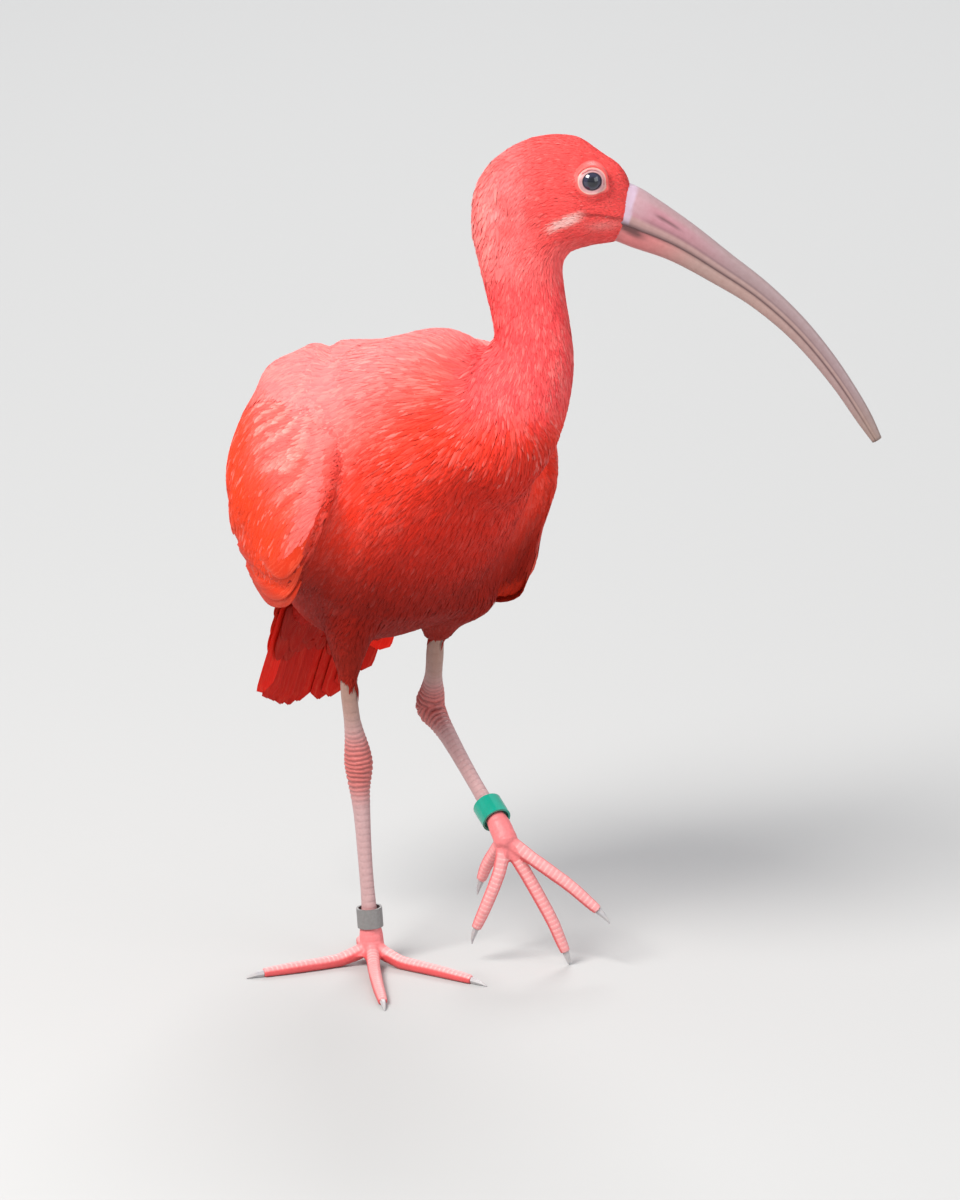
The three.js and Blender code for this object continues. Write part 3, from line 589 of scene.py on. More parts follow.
class Ground:
    """A surface, of one piece or several, that feathers grow from."""

    def __init__(self, *pieces):
        points, triangles, unwrap, start = [], [], [], 0
        for piece in pieces:
            mesh = piece.data
            mesh.calc_loop_triangles()
            points.append(points_of(piece))
            triangles.append(numbers_of(mesh.loop_triangles, "vertices", 3, np.int32) + start)
            loops = numbers_of(mesh.loop_triangles, "loops", 3, np.int32)
            unwrap.append(numbers_of(mesh.uv_layers["OFBake"].data, "uv", 2, np.float32)[loops])
            start += len(points[-1])
        self.points = np.concatenate(points)
        self.triangles = np.concatenate(triangles)
        self.unwrap = np.concatenate(unwrap)
        self.tree = BVHTree.FromPolygons(self.points.tolist(), self.triangles.tolist())

    def nearest(self, places):
        found = [self.tree.find_nearest(Vector(p)) for p in places]
        return (np.array([hit[0][:] for hit in found]), np.array([hit[1][:] for hit in found]))

    def below(self, places, way):
        """Where a straight line through each place, against that way, meets the ground, and its normal."""
        found = [self.tree.ray_cast(Vector(p + 12 * way), Vector(-way)) for p in places]
        return (np.array([hit[0][:] for hit in found]), np.array([hit[1][:] for hit in found]))

    def scatter(self, count, density):
        """Places spread over the ground, as dense as the function asks, with their normals and unwrap."""
        corners = self.points[self.triangles]
        cross = np.cross(corners[:, 1] - corners[:, 0], corners[:, 2] - corners[:, 0])
        size = np.linalg.norm(cross, axis=1) * np.maximum(density(corners.mean(1)), 0)
        edges = np.cumsum(size) / size.sum()
        picks = np.searchsorted(edges, (np.arange(count) + rng.random(count)) / count)
        picks = np.minimum(picks, len(edges) - 1)
        a, b = rng.random(count), rng.random(count)
        fold = a + b > 1
        a[fold], b[fold] = 1 - a[fold], 1 - b[fold]
        shares = np.stack([1 - a - b, a, b], axis=1)
        places = (corners[picks] * shares[..., None]).sum(1)
        unwrap = (self.unwrap[picks] * shares[..., None]).sum(1)
        return places, unit(cross[picks]), unwrap


LONG_ROWS = ((0.12, 0.55), (0.45, 1.0), (0.8, 0.74))
SHORT_ROWS = ((0.25, 0.9), (0.68, 0.9))
PATCH = 0.003


def outward(piece):
    """Faces turned so that the mesh encloses a volume above zero."""
    mesh = piece.data
    mesh.calc_loop_triangles()
    corners = numbers_of(mesh.loop_triangles, "vertices", 3, np.int32)
    a, b, c = np.moveaxis(points_of(piece)[corners], 1, 0)
    if (a * np.cross(b, c)).sum() < 0:
        mesh.flip_normals()


def tufts(name, follow, unwrap, rows, width, lift, shaded_root_tint, tip_tint, sunk=0.2):
    """Thin pointed feathers lying along the body, in one mesh. Each is a closed flat spindle.

    follow gives the centre, normal and lie of every feather at a share of its length, and sunk is the share
    of the lift that its root has. Feathers that would be bent or twisted sharply are left out."""
    place, normal, lie = follow(0.0)
    root_normal, root_lie = normal, lie
    parts, tints, shades = [place + normal * column(lift * (sunk - 0.2) - 0.5)], [shaded_root_tint], [normal]
    kept = np.ones(len(width), bool)
    for share, breadth in (*rows, (1.0, 0.0)):
        centre, normal, lie = follow(share)
        kept = kept & ((normal * root_normal).sum(1) > 0.35) & ((lie * root_lie).sum(1) > 0.3)
        if not breadth:
            break
        centre = centre + normal * column(lift * (sunk + (1 - sunk) * share))
        across = unit(np.cross(lie, normal))
        half = column(width * breadth / 2)
        # The colour runs from the root tint, which the callers paint a little darker as shade under the
        # overlying feathers, to the tip tint
        colour = mix(shaded_root_tint, tip_tint, share)
        parts += [centre - across * half, centre + normal * half * 0.14, centre + across * half]
        tints += [colour, colour, colour]
        shades += [normal - across * 0.3, normal, normal + across * 0.3]
    parts.append(centre + normal * column(lift * 0.9))
    tints.append(tip_tint)
    shades.append(normal + lie * 0.25)
    points = np.stack(parts, axis=1)[kept]
    count, per = points.shape[:2]
    quads, ends = [], []
    for k in range(3):
        follower = (k + 1) % 3
        for row in range(len(rows) - 1):
            here, there = 1 + row * 3, 4 + row * 3
            quads.append([here + k, here + follower, there + follower, there + k])
        ends.append([0, 1 + follower, 1 + k])
        ends.append([per - 4 + k, per - 4 + follower, per - 1])
    offsets = (np.arange(count) * per)[:, None, None]
    faces = [(np.array(group) + offsets).reshape(-1, len(group[0])) for group in (quads, ends)]
    piece = from_arrays(name, points.reshape(-1, 3), faces)
    tint(piece, np.stack([np.broadcast_to(t, (len(kept), 3)) for t in tints], axis=1)[kept].reshape(-1, 3))
    local = [(0.5, 0.0)]
    for share, breadth in rows:
        local += [(0.5 - breadth / 2, share), (0.5, share), (0.5 + breadth / 2, share)]
    local.append((0.5, 1.0))
    local = np.array(local)
    lay_uv(piece, "OFBake", (unwrap[kept][:, None, :] + (local - 0.5) * PATCH).reshape(-1, 2))
    lay_uv(piece, "Lie", np.tile(local, (count, 1)))
    outward(piece)
    soften(piece, unit(np.stack(shades, axis=1)[kept]).reshape(-1, 3), 0.93)
    return piece


def soften(piece, shades, strength):
    """Shading that follows the form below, kept on the outer side of every face."""
    mesh = piece.data
    sizes = numbers_of(mesh.polygons, "loop_total", 1, np.int32)
    faces = np.repeat(numbers_of(mesh.polygons, "normal", 3, np.float32), sizes, axis=0)
    corners = numbers_of(mesh.loops, "vertex_index", 1, np.int32)
    wanted = unit(mix(normals_of(piece), shades, strength))[corners]
    facing = (wanted * faces).sum(1)
    wanted = unit(wanted + faces * column(np.maximum(0.3 - facing, 0) * 1.2))
    mesh.normals_split_custom_set(wanted.tolist())


class OverGround:
    """Walks feathers along the ground from their roots: asked for rising shares of their length."""

    def __init__(self, ground, roots, lies, length):
        self.ground, self.length, self.share = ground, length, 0.0
        self.place, self.normal = ground.nearest(roots)
        self.lie = self.along_ground(lies)

    def along_ground(self, ways):
        return unit(ways - column((ways * self.normal).sum(1)) * self.normal)

    def __call__(self, share):
        for _ in range(2 if share > self.share else 0):
            step = self.length * (share - self.share) / 2
            self.place, self.normal = self.ground.nearest(self.place + self.lie * column(step))
            self.lie = self.along_ground(self.lie)
        self.share = share
        return self.place, self.normal, self.lie


def make_skin():
    skin = copy_of(FLESH, "skin", 1.5, 22)
    points, normals = points_of(skin), normals_of(skin)
    apply_modifier(skin, "SMOOTH", factor=0.5, iterations=150)
    eased = points_of(skin) + normals_of(skin) * 1.7
    apply_modifier(skin, "SMOOTH", factor=0.5, iterations=270)
    smoothed = points_of(skin)
    head, neck, _, thigh = region_shares(points)
    hollow = smoothstep(-0.2, 1.2, ((smoothed - points) * normals).sum(1)) * (1 - head) * (1 - 0.7 * thigh)
    neck_foot = smoothstep(54, 32, np.linalg.norm(points - NECK_FOOT, axis=1))
    crease = smoothstep(30, 14, from_nearest(points, NECK_CREASE))
    filled = smoothed + normals_of(skin) * 2.6
    shaped = mix(mix(points, smoothed, column(hollow)), eased, column(neck_foot))
    shaped = mix(shaped, filled, column(crease))
    lobe = 11.0 * swelling(shaped, (15, 40, 176), 17)
    forehead = 2.0 * swelling(shaped, head_place(117, 0, 399.5), 9)
    forehead = forehead + 1.6 * swelling(shaped, head_place(100, 4, 415), 10)
    shaped = shaped + normals * column(lobe + forehead)
    low = np.maximum(150 - shaped[:, 2], 0) * smoothstep(10, 20, shaped[:, 1])
    sink = 7.0 * swelling(shaped, (41, 34, 316), 17) + 5.5 * swelling(shaped, (45, 14, 318), 13)
    sink = sink + 2.4 * swelling(shaped, (14, -8, 314), 12) + 6.0 * swelling(shaped, (18, 35, 309), 13)
    shaped = shaped + column(0.6 * low - sink) * UP
    move_points(skin, shaped)
    apply_modifier(skin, "SMOOTH", factor=0.5, iterations=10)
    points, normals = points_of(skin), normals_of(skin)
    face = face_share(points) * head
    depth = mix(1.5, 1.3, neck)
    depth = mix(depth, 1.5, thigh)
    depth = mix(depth, 1.0, head)
    depth = mix(depth, 0.3, face)
    points = points - normals * column(depth + 0.4)
    for side, eye in zip((-1, 1), EYES):
        look = eye_look(side)
        high = (points - eye) @ look
        reach = np.linalg.norm(points - eye - column(high) * look, axis=1)
        above = smoothstep(-2, 3, (points - eye) @ UP)
        disc = np.where(reach < 5.5, 2.4, np.minimum(3.75 - 0.42 * (reach - 6), high + 1.3 - 1.1 * above))
        near = smoothstep(12.5, 8.5, reach) * smoothstep(-4, 0, high)
        points = points + column((disc - high) * near) * look
    move_points(skin, points)
    base = markings(points)[0]
    bare = rgb(0.80, 0.12, 0.10) * (1 + 0.12 * column(patches(points, 2.5)))
    # The skin under the coat is the plumage's colour painted a quarter darker, as the shade between the
    # feathers. The bare face keeps its own colour
    tint(skin, mix(base * 0.75, bare, column(face)))
    unwrap_skin(skin)
    ready(skin, "skin", "body_plumage", *FLESH)
    return skin


def unwrap_skin(piece):
    for layer in list(piece.data.uv_layers):
        piece.data.uv_layers.remove(layer)
    piece.data.uv_layers.new(name="OFBake")
    edit_all(piece, bpy.ops.uv.smart_project, angle_limit=math.radians(66), island_margin=0.004)


def coat_part(name, ground, rows, count, density, length, width, lift, spread, over=None):
    """One piece of the coat: how many feathers, how dense, and their sizes as functions of place."""
    roots, normals, unwrap = ground.scatter(count, density)
    turn = column(rng.normal(0, spread, count) + 0.12 * patches(roots + 300, 18.0))
    lies = lie_at(roots, normals)
    lies = unit(lies + np.cross(normals, lies) * turn)
    sizes = length(roots) * rng.uniform(0.72, 1.28, count)
    free = from_nearest(roots + lies * column(sizes), EYES) > 7.2
    roots, unwrap, lies, sizes, count = roots[free], unwrap[free], lies[free], sizes[free], free.sum()
    base, pale, malar = markings(roots)
    is_pale = rng.random(count) < np.clip(pale * (1 + 1.3 * patches(roots, 8.0)), 0, 1)
    dim = 1 - 0.75 * smoothstep(-10, -38, body_coordinates(roots)[2]) * (roots[:, 2] < 270)
    strength = column(np.clip(is_pale * dim * rng.uniform(0.03, 0.32, count) + malar * 0.75, 0, 1))
    shade = column(1 + rng.normal(0, 0.06, count) + 0.07 * patches(roots, 16.0))
    pale_tint = mix(PALE_PINK, WHITE_PINK, column(np.maximum(malar, rng.random(count) ** 5)))
    tip = mix(base * shade, pale_tint, strength)
    # Each root is painted 6% darker than its tip, as shade under the feathers over it
    piece = tufts(name, OverGround(over or ground, roots, lies, sizes), unwrap, rows,
                  width(roots) * rng.uniform(0.75, 1.25, count), lift(roots) * rng.uniform(0.75, 1.25, count),
                  mix(base * shade * 0.94, pale_tint, column(malar * 0.6)), tip)
    ready(piece, "coat", "body_plumage")


def face_share(points):
    return smoothstep(82, 104, head_coordinates(points)[0])


def evenly(value):
    return lambda points: np.full(len(points), value)


# The coat's pieces: name, region, the rows and the number of the feathers, and the spread of their lies
COAT_PARTS = [("coat_head", "head", SHORT_ROWS, 15500, 0.12),
              ("coat_neck", "neck", LONG_ROWS, 10500, 0.1),
              ("coat_breast", "breast", LONG_ROWS, 10400, 0.07),
              ("coat_front", "front", LONG_ROWS, 9000, 0.07),
              ("coat_rear", "rear", LONG_ROWS, 8600, 0.07)]


def make_coat(ground, with_legs):
    def on(region):
        def density(points):
            head, neck, _, thigh = region_shares(points)
            along, _, dorsal = body_coordinates(points)
            forward, _, height = head_coordinates(points)
            body = (1 - head) * (1 - neck)
            bare = smoothstep(0.7, -0.7, forward - 120.8 - 0.26 * np.clip(height - 378, 0, 16))
            bare = bare * smoothstep(7.4, 8.4, from_nearest(points, EYES))
            line = along - dorsal * 0.15
            return {"head": head * bare * (1 + 1.1 * face_share(points)), "neck": neck,
                    "breast": body * smoothstep(36, 40, line),
                    "front": body * smoothstep(-6, -2, line) * smoothstep(40, 36, line) * (1 - thigh),
                    "rear": body * smoothstep(-2, -6, line) * (1 - thigh),
                    "thigh": thigh}[region]
        return density

    def blended(face, crown, neck_size, body_size):
        def size(points):
            head, neck = region_shares(points)[:2]
            value = mix(body_size, neck_size, neck)
            return mix(value, mix(crown, face, face_share(points)), head)
        return size

    def lift(points):
        head, neck = region_shares(points)[:2]
        forward, _, height = head_coordinates(points)
        nape = smoothstep(68, 58, forward) * smoothstep(325, 350, height)
        value = mix(1.0, 0.95, neck)
        value = mix(value, mix(0.8, 0.4, face_share(points)), head)
        return (value + nape * 0.2) * (1 - 0.5 * swelling(points, (48, 2, 314), 18))

    def nape(points):
        head, neck = region_shares(points)[:2]
        forward, _, height = head_coordinates(points)
        rise = smoothstep(308, 325, height) * smoothstep(408, 392, height)
        return (head + neck) * smoothstep(66, 58, forward) * rise

    length = blended(2.5, 6.5, 10.0, 15.0)
    width = blended(0.65, 0.95, 1.2, 1.6)
    for name, region, rows, count, spread in COAT_PARTS:
        coat_part(name, ground, rows, count, on(region), length, width, lift, spread)
    coat_part("coat_nape", ground, LONG_ROWS, 900, nape, evenly(9.0), evenly(1.8), evenly(1.3), 0.2)
    coat_part("coat_thighs", ground, LONG_ROWS, 5200, on("thigh"), evenly(11.0), evenly(1.35), lift, 0.08,
              with_legs)


# Wings and tail

WING_STATIONS = [(90, 37, 36, 37), (66, 51.5, 46, 51.5), (38, 59.5, 55, 60), (6, 62.8, 57.5, 62.8),
                 (-28, 61.5, 54, 62.5), (-58, 52.5, 43, 54), (-86, 37, 30, 41), (-115, 23, 13, 27),
                 (-140, 14, 4, 12)]
# Top and bottom edge of each folded wing, in degrees round the body
WING_EDGES = {
    -1: [(56, 40, 92), (48, 27, 101), (37, 21, 108), (17, 18, 113), (-10, 16, 115), (-43, 14, 111),
         (-60, 13, 102), (-80, 12, 86), (-100, 10, 70), (-118, 7, 56), (-138, 4, 48)],
    1: [(55, 60, 97), (47, 46, 112), (30, 30, 121), (2, 17, 126), (-30, 15, 131), (-52, 14, 124),
        (-76, 13, 98), (-100, 10, 76), (-125, 6, 60), (-142, 3, 55)],
}
WING_BULK = [(58, 0), (54, 0.6), (50, 1.8), (42, 3.6), (30, 4.8), (0, 4.8), (-28, 4.0), (-58, 2.2),
             (-90, 0.8), (-140, 0)]
WING_CORE = [(54, 0.2), (46, 1.6), (32, 2.4), (14, 2.1), (-8, 1.6), (-28, 1.2), (-50, 0.8)]
WING_TOP = [(58, 0.3), (54, 1.8), (48, 2.9), (40, 3.3), (30, 3.4), (15, 3.4), (0, 3.6), (-12, 3.4),
            (-30, 3.2), (-56, 2.9)]
# Valleys between the folds of the long feathers: along, then their three places across the wing
WING_FOLDS = [(20, 1.05, 0.78, 0.58), (-10, 1.02, 0.76, 0.56), (-28, 0.97, 0.745, 0.545),
              (-45, 0.85, 0.725, 0.53), (-80, 0.80, 0.68, 0.50), (-115, 0.74, 0.60, 0.45)]
WING_BACK, WING_BELLY = 0.62, 0.8


# Where the near wing comes out from under the body's feathers: along, then degrees round the body above
# and below it
WING_SHOWN = [(54, 86, 88), (53, 77, 97), (49, 70, 104), (40, 61, 110), (29, 54, 113), (16, 48, 114),
              (-1, 42, 116), (-20, 36, 116), (-45, 30, 114), (-60, 26, 104), (-80, 22, 90)]


def beyond_wing(points):
    """How far points lie outside the part of a wing that shows, and their angle round the body."""
    along, side, dorsal = body_coordinates(points)
    angle = np.degrees(np.arctan2(np.abs(side), dorsal))
    near, far = straight(WING_SHOWN, along), rounded(WING_EDGES[1], along)
    above = np.where(side < 0, near[..., 0], far[..., 0] + 14)
    below = np.where(side < 0, near[..., 1], far[..., 1] + 2)
    return np.max([above - angle, angle - below, along - 54], axis=0), angle


def on_wing(side, along, share, height):
    """A place on the folded wing: share 0 is its top edge and 1 its bottom edge."""
    width, dorsal, ventral = np.moveaxis(rounded(WING_STATIONS, along), -1, 0)
    top, bottom = np.moveaxis(rounded(WING_EDGES[side], along), -1, 0)
    angle = np.radians(mix(top, bottom, share))
    power = np.where(np.cos(angle) > 0, WING_BACK, WING_BELLY)
    across = np.abs(np.sin(angle)) ** power * np.sign(np.sin(angle))
    over = np.abs(np.cos(angle)) ** power * np.sign(np.cos(angle))
    depth = np.where(over > 0, dorsal, ventral)
    return body_place(along, side * across * (width + height), over * (depth + height))


def wing_share(side, points):
    """The share at which points near the wing lie between its top and bottom edges."""
    along, across, dorsal = body_coordinates(points)
    width, up, down = np.moveaxis(rounded(WING_STATIONS, along), -1, 0)
    power = np.where(dorsal > 0, WING_BACK, WING_BELLY)
    sine = (np.abs(across) / (width + 8)) ** (1 / power)
    cosine = np.sign(dorsal) * (np.abs(dorsal) / (np.where(dorsal > 0, up, down) + 8)) ** (1 / power)
    top, bottom = np.moveaxis(rounded(WING_EDGES[side], along), -1, 0)
    return (np.degrees(np.arctan2(sine, cosine)) - top) / (bottom - top)


def wing_folds(along, share):
    """1 in the valleys between the folds of the long feathers."""
    valleys = straight(WING_FOLDS, along)
    return hump(column(share), valleys, 0.035).sum(-1) * smoothstep(16, -30, along)


def wing_skin(side, along, share, height):
    """The same with the wing's own bulk, which swells at the shoulder and is thin at the tip, and with the
    folds of its long feathers. The far wing hangs off the body at its lower edge."""
    bulk = straight(WING_BULK, along)[..., 0] * smoothstep(-0.35, 0.25, share)
    bulk = bulk * (1 - 0.35 * smoothstep(0.7, 1.05, share)) - 1.9 * wing_folds(along, share)
    if side > 0:
        low = smoothstep(0.42, 0.15, share) * smoothstep(5, 30, along)
        bulk = bulk * (1 - low) - 0.6 * height * low
        bulk = bulk + 8.0 * smoothstep(0.55, 1.0, share) * hump(along, -32, 24)
    return on_wing(side, along, share, height + bulk)


def vane_grid(count_along, count_across):
    """Faces of a thin closed plate, its upper points first, then its lower ones."""
    top = np.arange(count_along * count_across).reshape(count_along, count_across)
    a, b, c, d = top[:-1, :-1], top[:-1, 1:], top[1:, 1:], top[1:, :-1]
    faces = [np.stack([a, b, c, d], -1).reshape(-1, 4)]
    faces.append(np.stack([a, d, c, b], -1).reshape(-1, 4) + top.size)
    rim = np.concatenate([top[0, :-1], top[:-1, -1], top[-1, :0:-1], top[:0:-1, 0]])
    follow = np.roll(rim, -1)
    faces.append(np.stack([rim, rim + top.size, follow + top.size, follow], -1))
    return np.concatenate(faces)


VANE_ROWS = 15
VANE_COLUMNS = 7


def breadths(shares, base, taper, roundness):
    """Half the width of a feather along its length, as a share of its broadest."""
    root = base + (1 - base) * np.sin(np.clip(shares / 0.5, 0, 1) * math.pi / 2)
    end = np.clip((shares - taper) / (1 - taper), 0, 1)
    return root * np.sqrt(np.maximum(1 - end**roundness, 0.012))


def vanes(name, feathers, surface):
    """Feathers with a shaft and two webs, each a closed curved plate, in one mesh."""
    shares = np.linspace(0, 1, VANE_ROWS) ** 0.9
    across = np.linspace(-1, 1, VANE_COLUMNS)
    grid = vane_grid(VANE_ROWS, VANE_COLUMNS)
    points, shades, tints, lies, unwraps, faces = [], [], [], [], [], []
    for k, feather in enumerate(feathers):
        t, c = np.meshgrid(shares, across, indexing="ij")
        edge = c * breadths(t, feather["root"], feather["taper"], feather["round"])
        wobble = 0.02 * np.sin(t * feather["wave"] + c * 2.0)
        camber = feather["camber"] * (1 - c * c) + 0.22 * np.exp(-(c * 6) ** 2)
        lift = mix(feather["heights"][0], feather["heights"][1], t ** feather["rise"])
        lift = lift + feather["tilt"] * edge + camber
        place = feather["middle"] + feather["bend"] * t**1.5 + (edge + wobble) * feather["half"]
        thick = 0.34 * (1 - 0.55 * np.abs(c)) * (1 - 0.5 * t)
        along = mix(feather["from"], feather["to"], t)
        base = surface(along, place, 0 * lift)
        form = unit(np.cross(np.gradient(base, axis=0), np.gradient(base, axis=1)))
        form = form * np.sign(column((form * (surface(along, place, 0 * lift + 1) - base)).sum(-1)))
        for side in (1, -1):
            points.append(surface(along, place, lift + side * thick / 2).reshape(-1, 3))
            shades.append(form.reshape(-1, 3) * side)
            colour = feather["tint"](t, c)
            tints.append(colour.reshape(-1, 3))
            lies.append(np.stack([c / 2 + 0.5, t], -1).reshape(-1, 2))
            u0, v0, du, dv = feather["patch"]
            unwraps.append(np.stack([u0 + (c / 2 + 0.5) * du, v0 + t * dv], -1).reshape(-1, 2))
        faces.append(grid + k * 2 * VANE_ROWS * VANE_COLUMNS)
    piece = from_arrays(name, np.concatenate(points), [np.concatenate(faces)])
    tint(piece, np.concatenate(tints))
    lay_uv(piece, "Lie", np.concatenate(lies))
    lay_uv(piece, "OFBake", np.concatenate(unwraps))
    outward(piece)
    soften(piece, np.concatenate(shades), 0.6)
    return piece


def web_tint(base, tip, tip_from, edge, edge_strength):
    """A feather's colour along and across: a base, a tip and a paler edge."""
    base, tip, edge = np.array(base), np.array(tip), np.array(edge)

    def colour(t, c):
        value = mix(base, tip, column(smoothstep(tip_from, 1, t)))
        rim = np.clip(smoothstep(0.55, 1, np.abs(c)) * 0.6 + smoothstep(0.86, 1, t), 0, 1)
        value = mix(value, edge, column(rim) * edge_strength)
        # The root half is painted up to a fifth darker, as shade under the feathers that overlap it
        return value * mix(0.8, 1.0, column(smoothstep(0.0, 0.5, t)))
    return colour


ORANGE_RED = rgb(0.94, 0.058, 0.014)
WING_SHADE = rgb(0.84, 0.036, 0.010)
WING_PALE = rgb(0.96, 0.46, 0.36)
BAND_PALE = rgb(0.97, 0.52, 0.46)
# Painted highlight: the pink of the wing's rounded front end and lower edge where the light catches them
EDGE_HIGHLIGHT_PINK = rgb(0.95, 0.25, 0.25)
TAIL_RED = rgb(0.55, 0.009, 0.003)
TIP_DARK = rgb(0.012, 0.012, 0.03)

# Tiers of the wing: name, how many, shares filled, root, tips top to bottom, heights, half widths over the
# step, paleness of the edges, slant
WING_TIERS = [
    ("primaries", 9, (0.3, 0.96), -40, (-102, -113, -96), (0.8, 1.2), 1.1, 0.0, 0.0),
    ("secondaries", 16, (0.12, 1.0), -18, (-106, -94, -76), (1.4, 2.4), 1.1, 0.05, 0.0),
    ("tertials", 7, (-0.02, 0.36), -2, (-102, -108, -94), (1.8, 3.0), 1.1, 0.07, 0.0),
    ("greater", 20, (0.06, 0.97), 0, (-60, -66, -54), (2.1, 3.1), 1.1, 0.1, -0.02),
    ("median", 21, (0.0, 0.95), 12, (-32, -36, -28), (2.4, 3.3), 1.15, 0.12, -0.04),
]


def wing_feathers(side):
    feathers = []
    for tier, (name, count, fill, root, tips, heights, overlap, pale, slant) in enumerate(WING_TIERS):
        step = (fill[1] - fill[0]) / count
        for i in range(count):
            place = 2 * i / (count - 1)
            tip = mix(tips[0], tips[1], place) if place < 1 else mix(tips[1], tips[2], place - 1)
            shade = 1 + rng.normal(0, 0.05)
            middle = fill[0] + (i + 0.5 + rng.uniform(-0.12, 0.12)) * step
            base = mix(ORANGE_RED, WING_SHADE, rng.uniform(0.2, 0.8)) * shade
            # Painted shade: the lower feathers are up to 22% darker, and the whole far wing is 20% darker
            base = base * (1 - 0.22 * smoothstep(0.55, 0.9, middle)) * (1 if side < 0 else 0.8)
            tip_tint = TIP_DARK if name == "primaries" and i > 5 else base * 1.03
            if name == "secondaries" and 5 < i < 9:
                tip_tint = mix(base, WING_PALE, 0.5)
            edges = pale * rng.uniform(0.5, 1.4) * smoothstep(1.15, 0.7, middle)
            colour = web_tint(base, tip_tint, 0.84, WING_PALE, edges)
            feathers.append({
                "middle": middle, "half": step * overlap,
                "from": root + rng.uniform(-1, 1), "to": tip + rng.uniform(-2.5, 2.5), "heights": heights,
                "rise": 0.8, "tilt": 0.2, "camber": 0.2, "taper": 0.62, "round": 2.2, "root": 0.55,
                "bend": slant + rng.normal(0, 0.01), "wave": rng.uniform(6, 12), "tint": colour,
                "patch": (0.02 + 0.96 * i / count, 0.02 + 0.12 * tier, 0.9 / count, 0.11),
            })
    return feathers


def wing_body(side, name, heights):
    """A closed round body from those heights over the wing's base down into the bird's side."""
    rows, columns = 44, 28
    along, share = np.meshgrid(np.linspace(55, -56, rows), np.linspace(0, 1, columns), indexing="ij")
    swell = 1 - np.where(share < 0.5, 0.1, 0.5) * np.abs(2 * share - 1) ** 4
    outer = wing_skin(side, along, share, heights(along, share) * swell)
    inner = on_wing(side, along, share, -6 + 0 * along)
    points = np.concatenate([outer.reshape(-1, 3), inner.reshape(-1, 3)])
    body = from_arrays(name, points, [vane_grid(rows, columns)])
    outward(body)
    apply_modifier(body, "REMESH", mode="VOXEL", voxel_size=0.0014)
    apply_modifier(body, "SMOOTH", factor=0.5, iterations=12)
    only(body)
    bpy.ops.object.shade_smooth()
    unwrap_skin(body)
    return body


def wing_top(along, share):
    return straight(WING_TOP, along)[..., 0]


def wing_core(along, share):
    """Low under the vanes, and as high as they are at the front and along the bottom edge."""
    edge = np.maximum(smoothstep(6, 20, along), smoothstep(0.9, 0.97, share) * smoothstep(-56, -44, along))
    return mix(straight(WING_CORE, along)[..., 0], wing_top(along, share) - 0.3, edge)


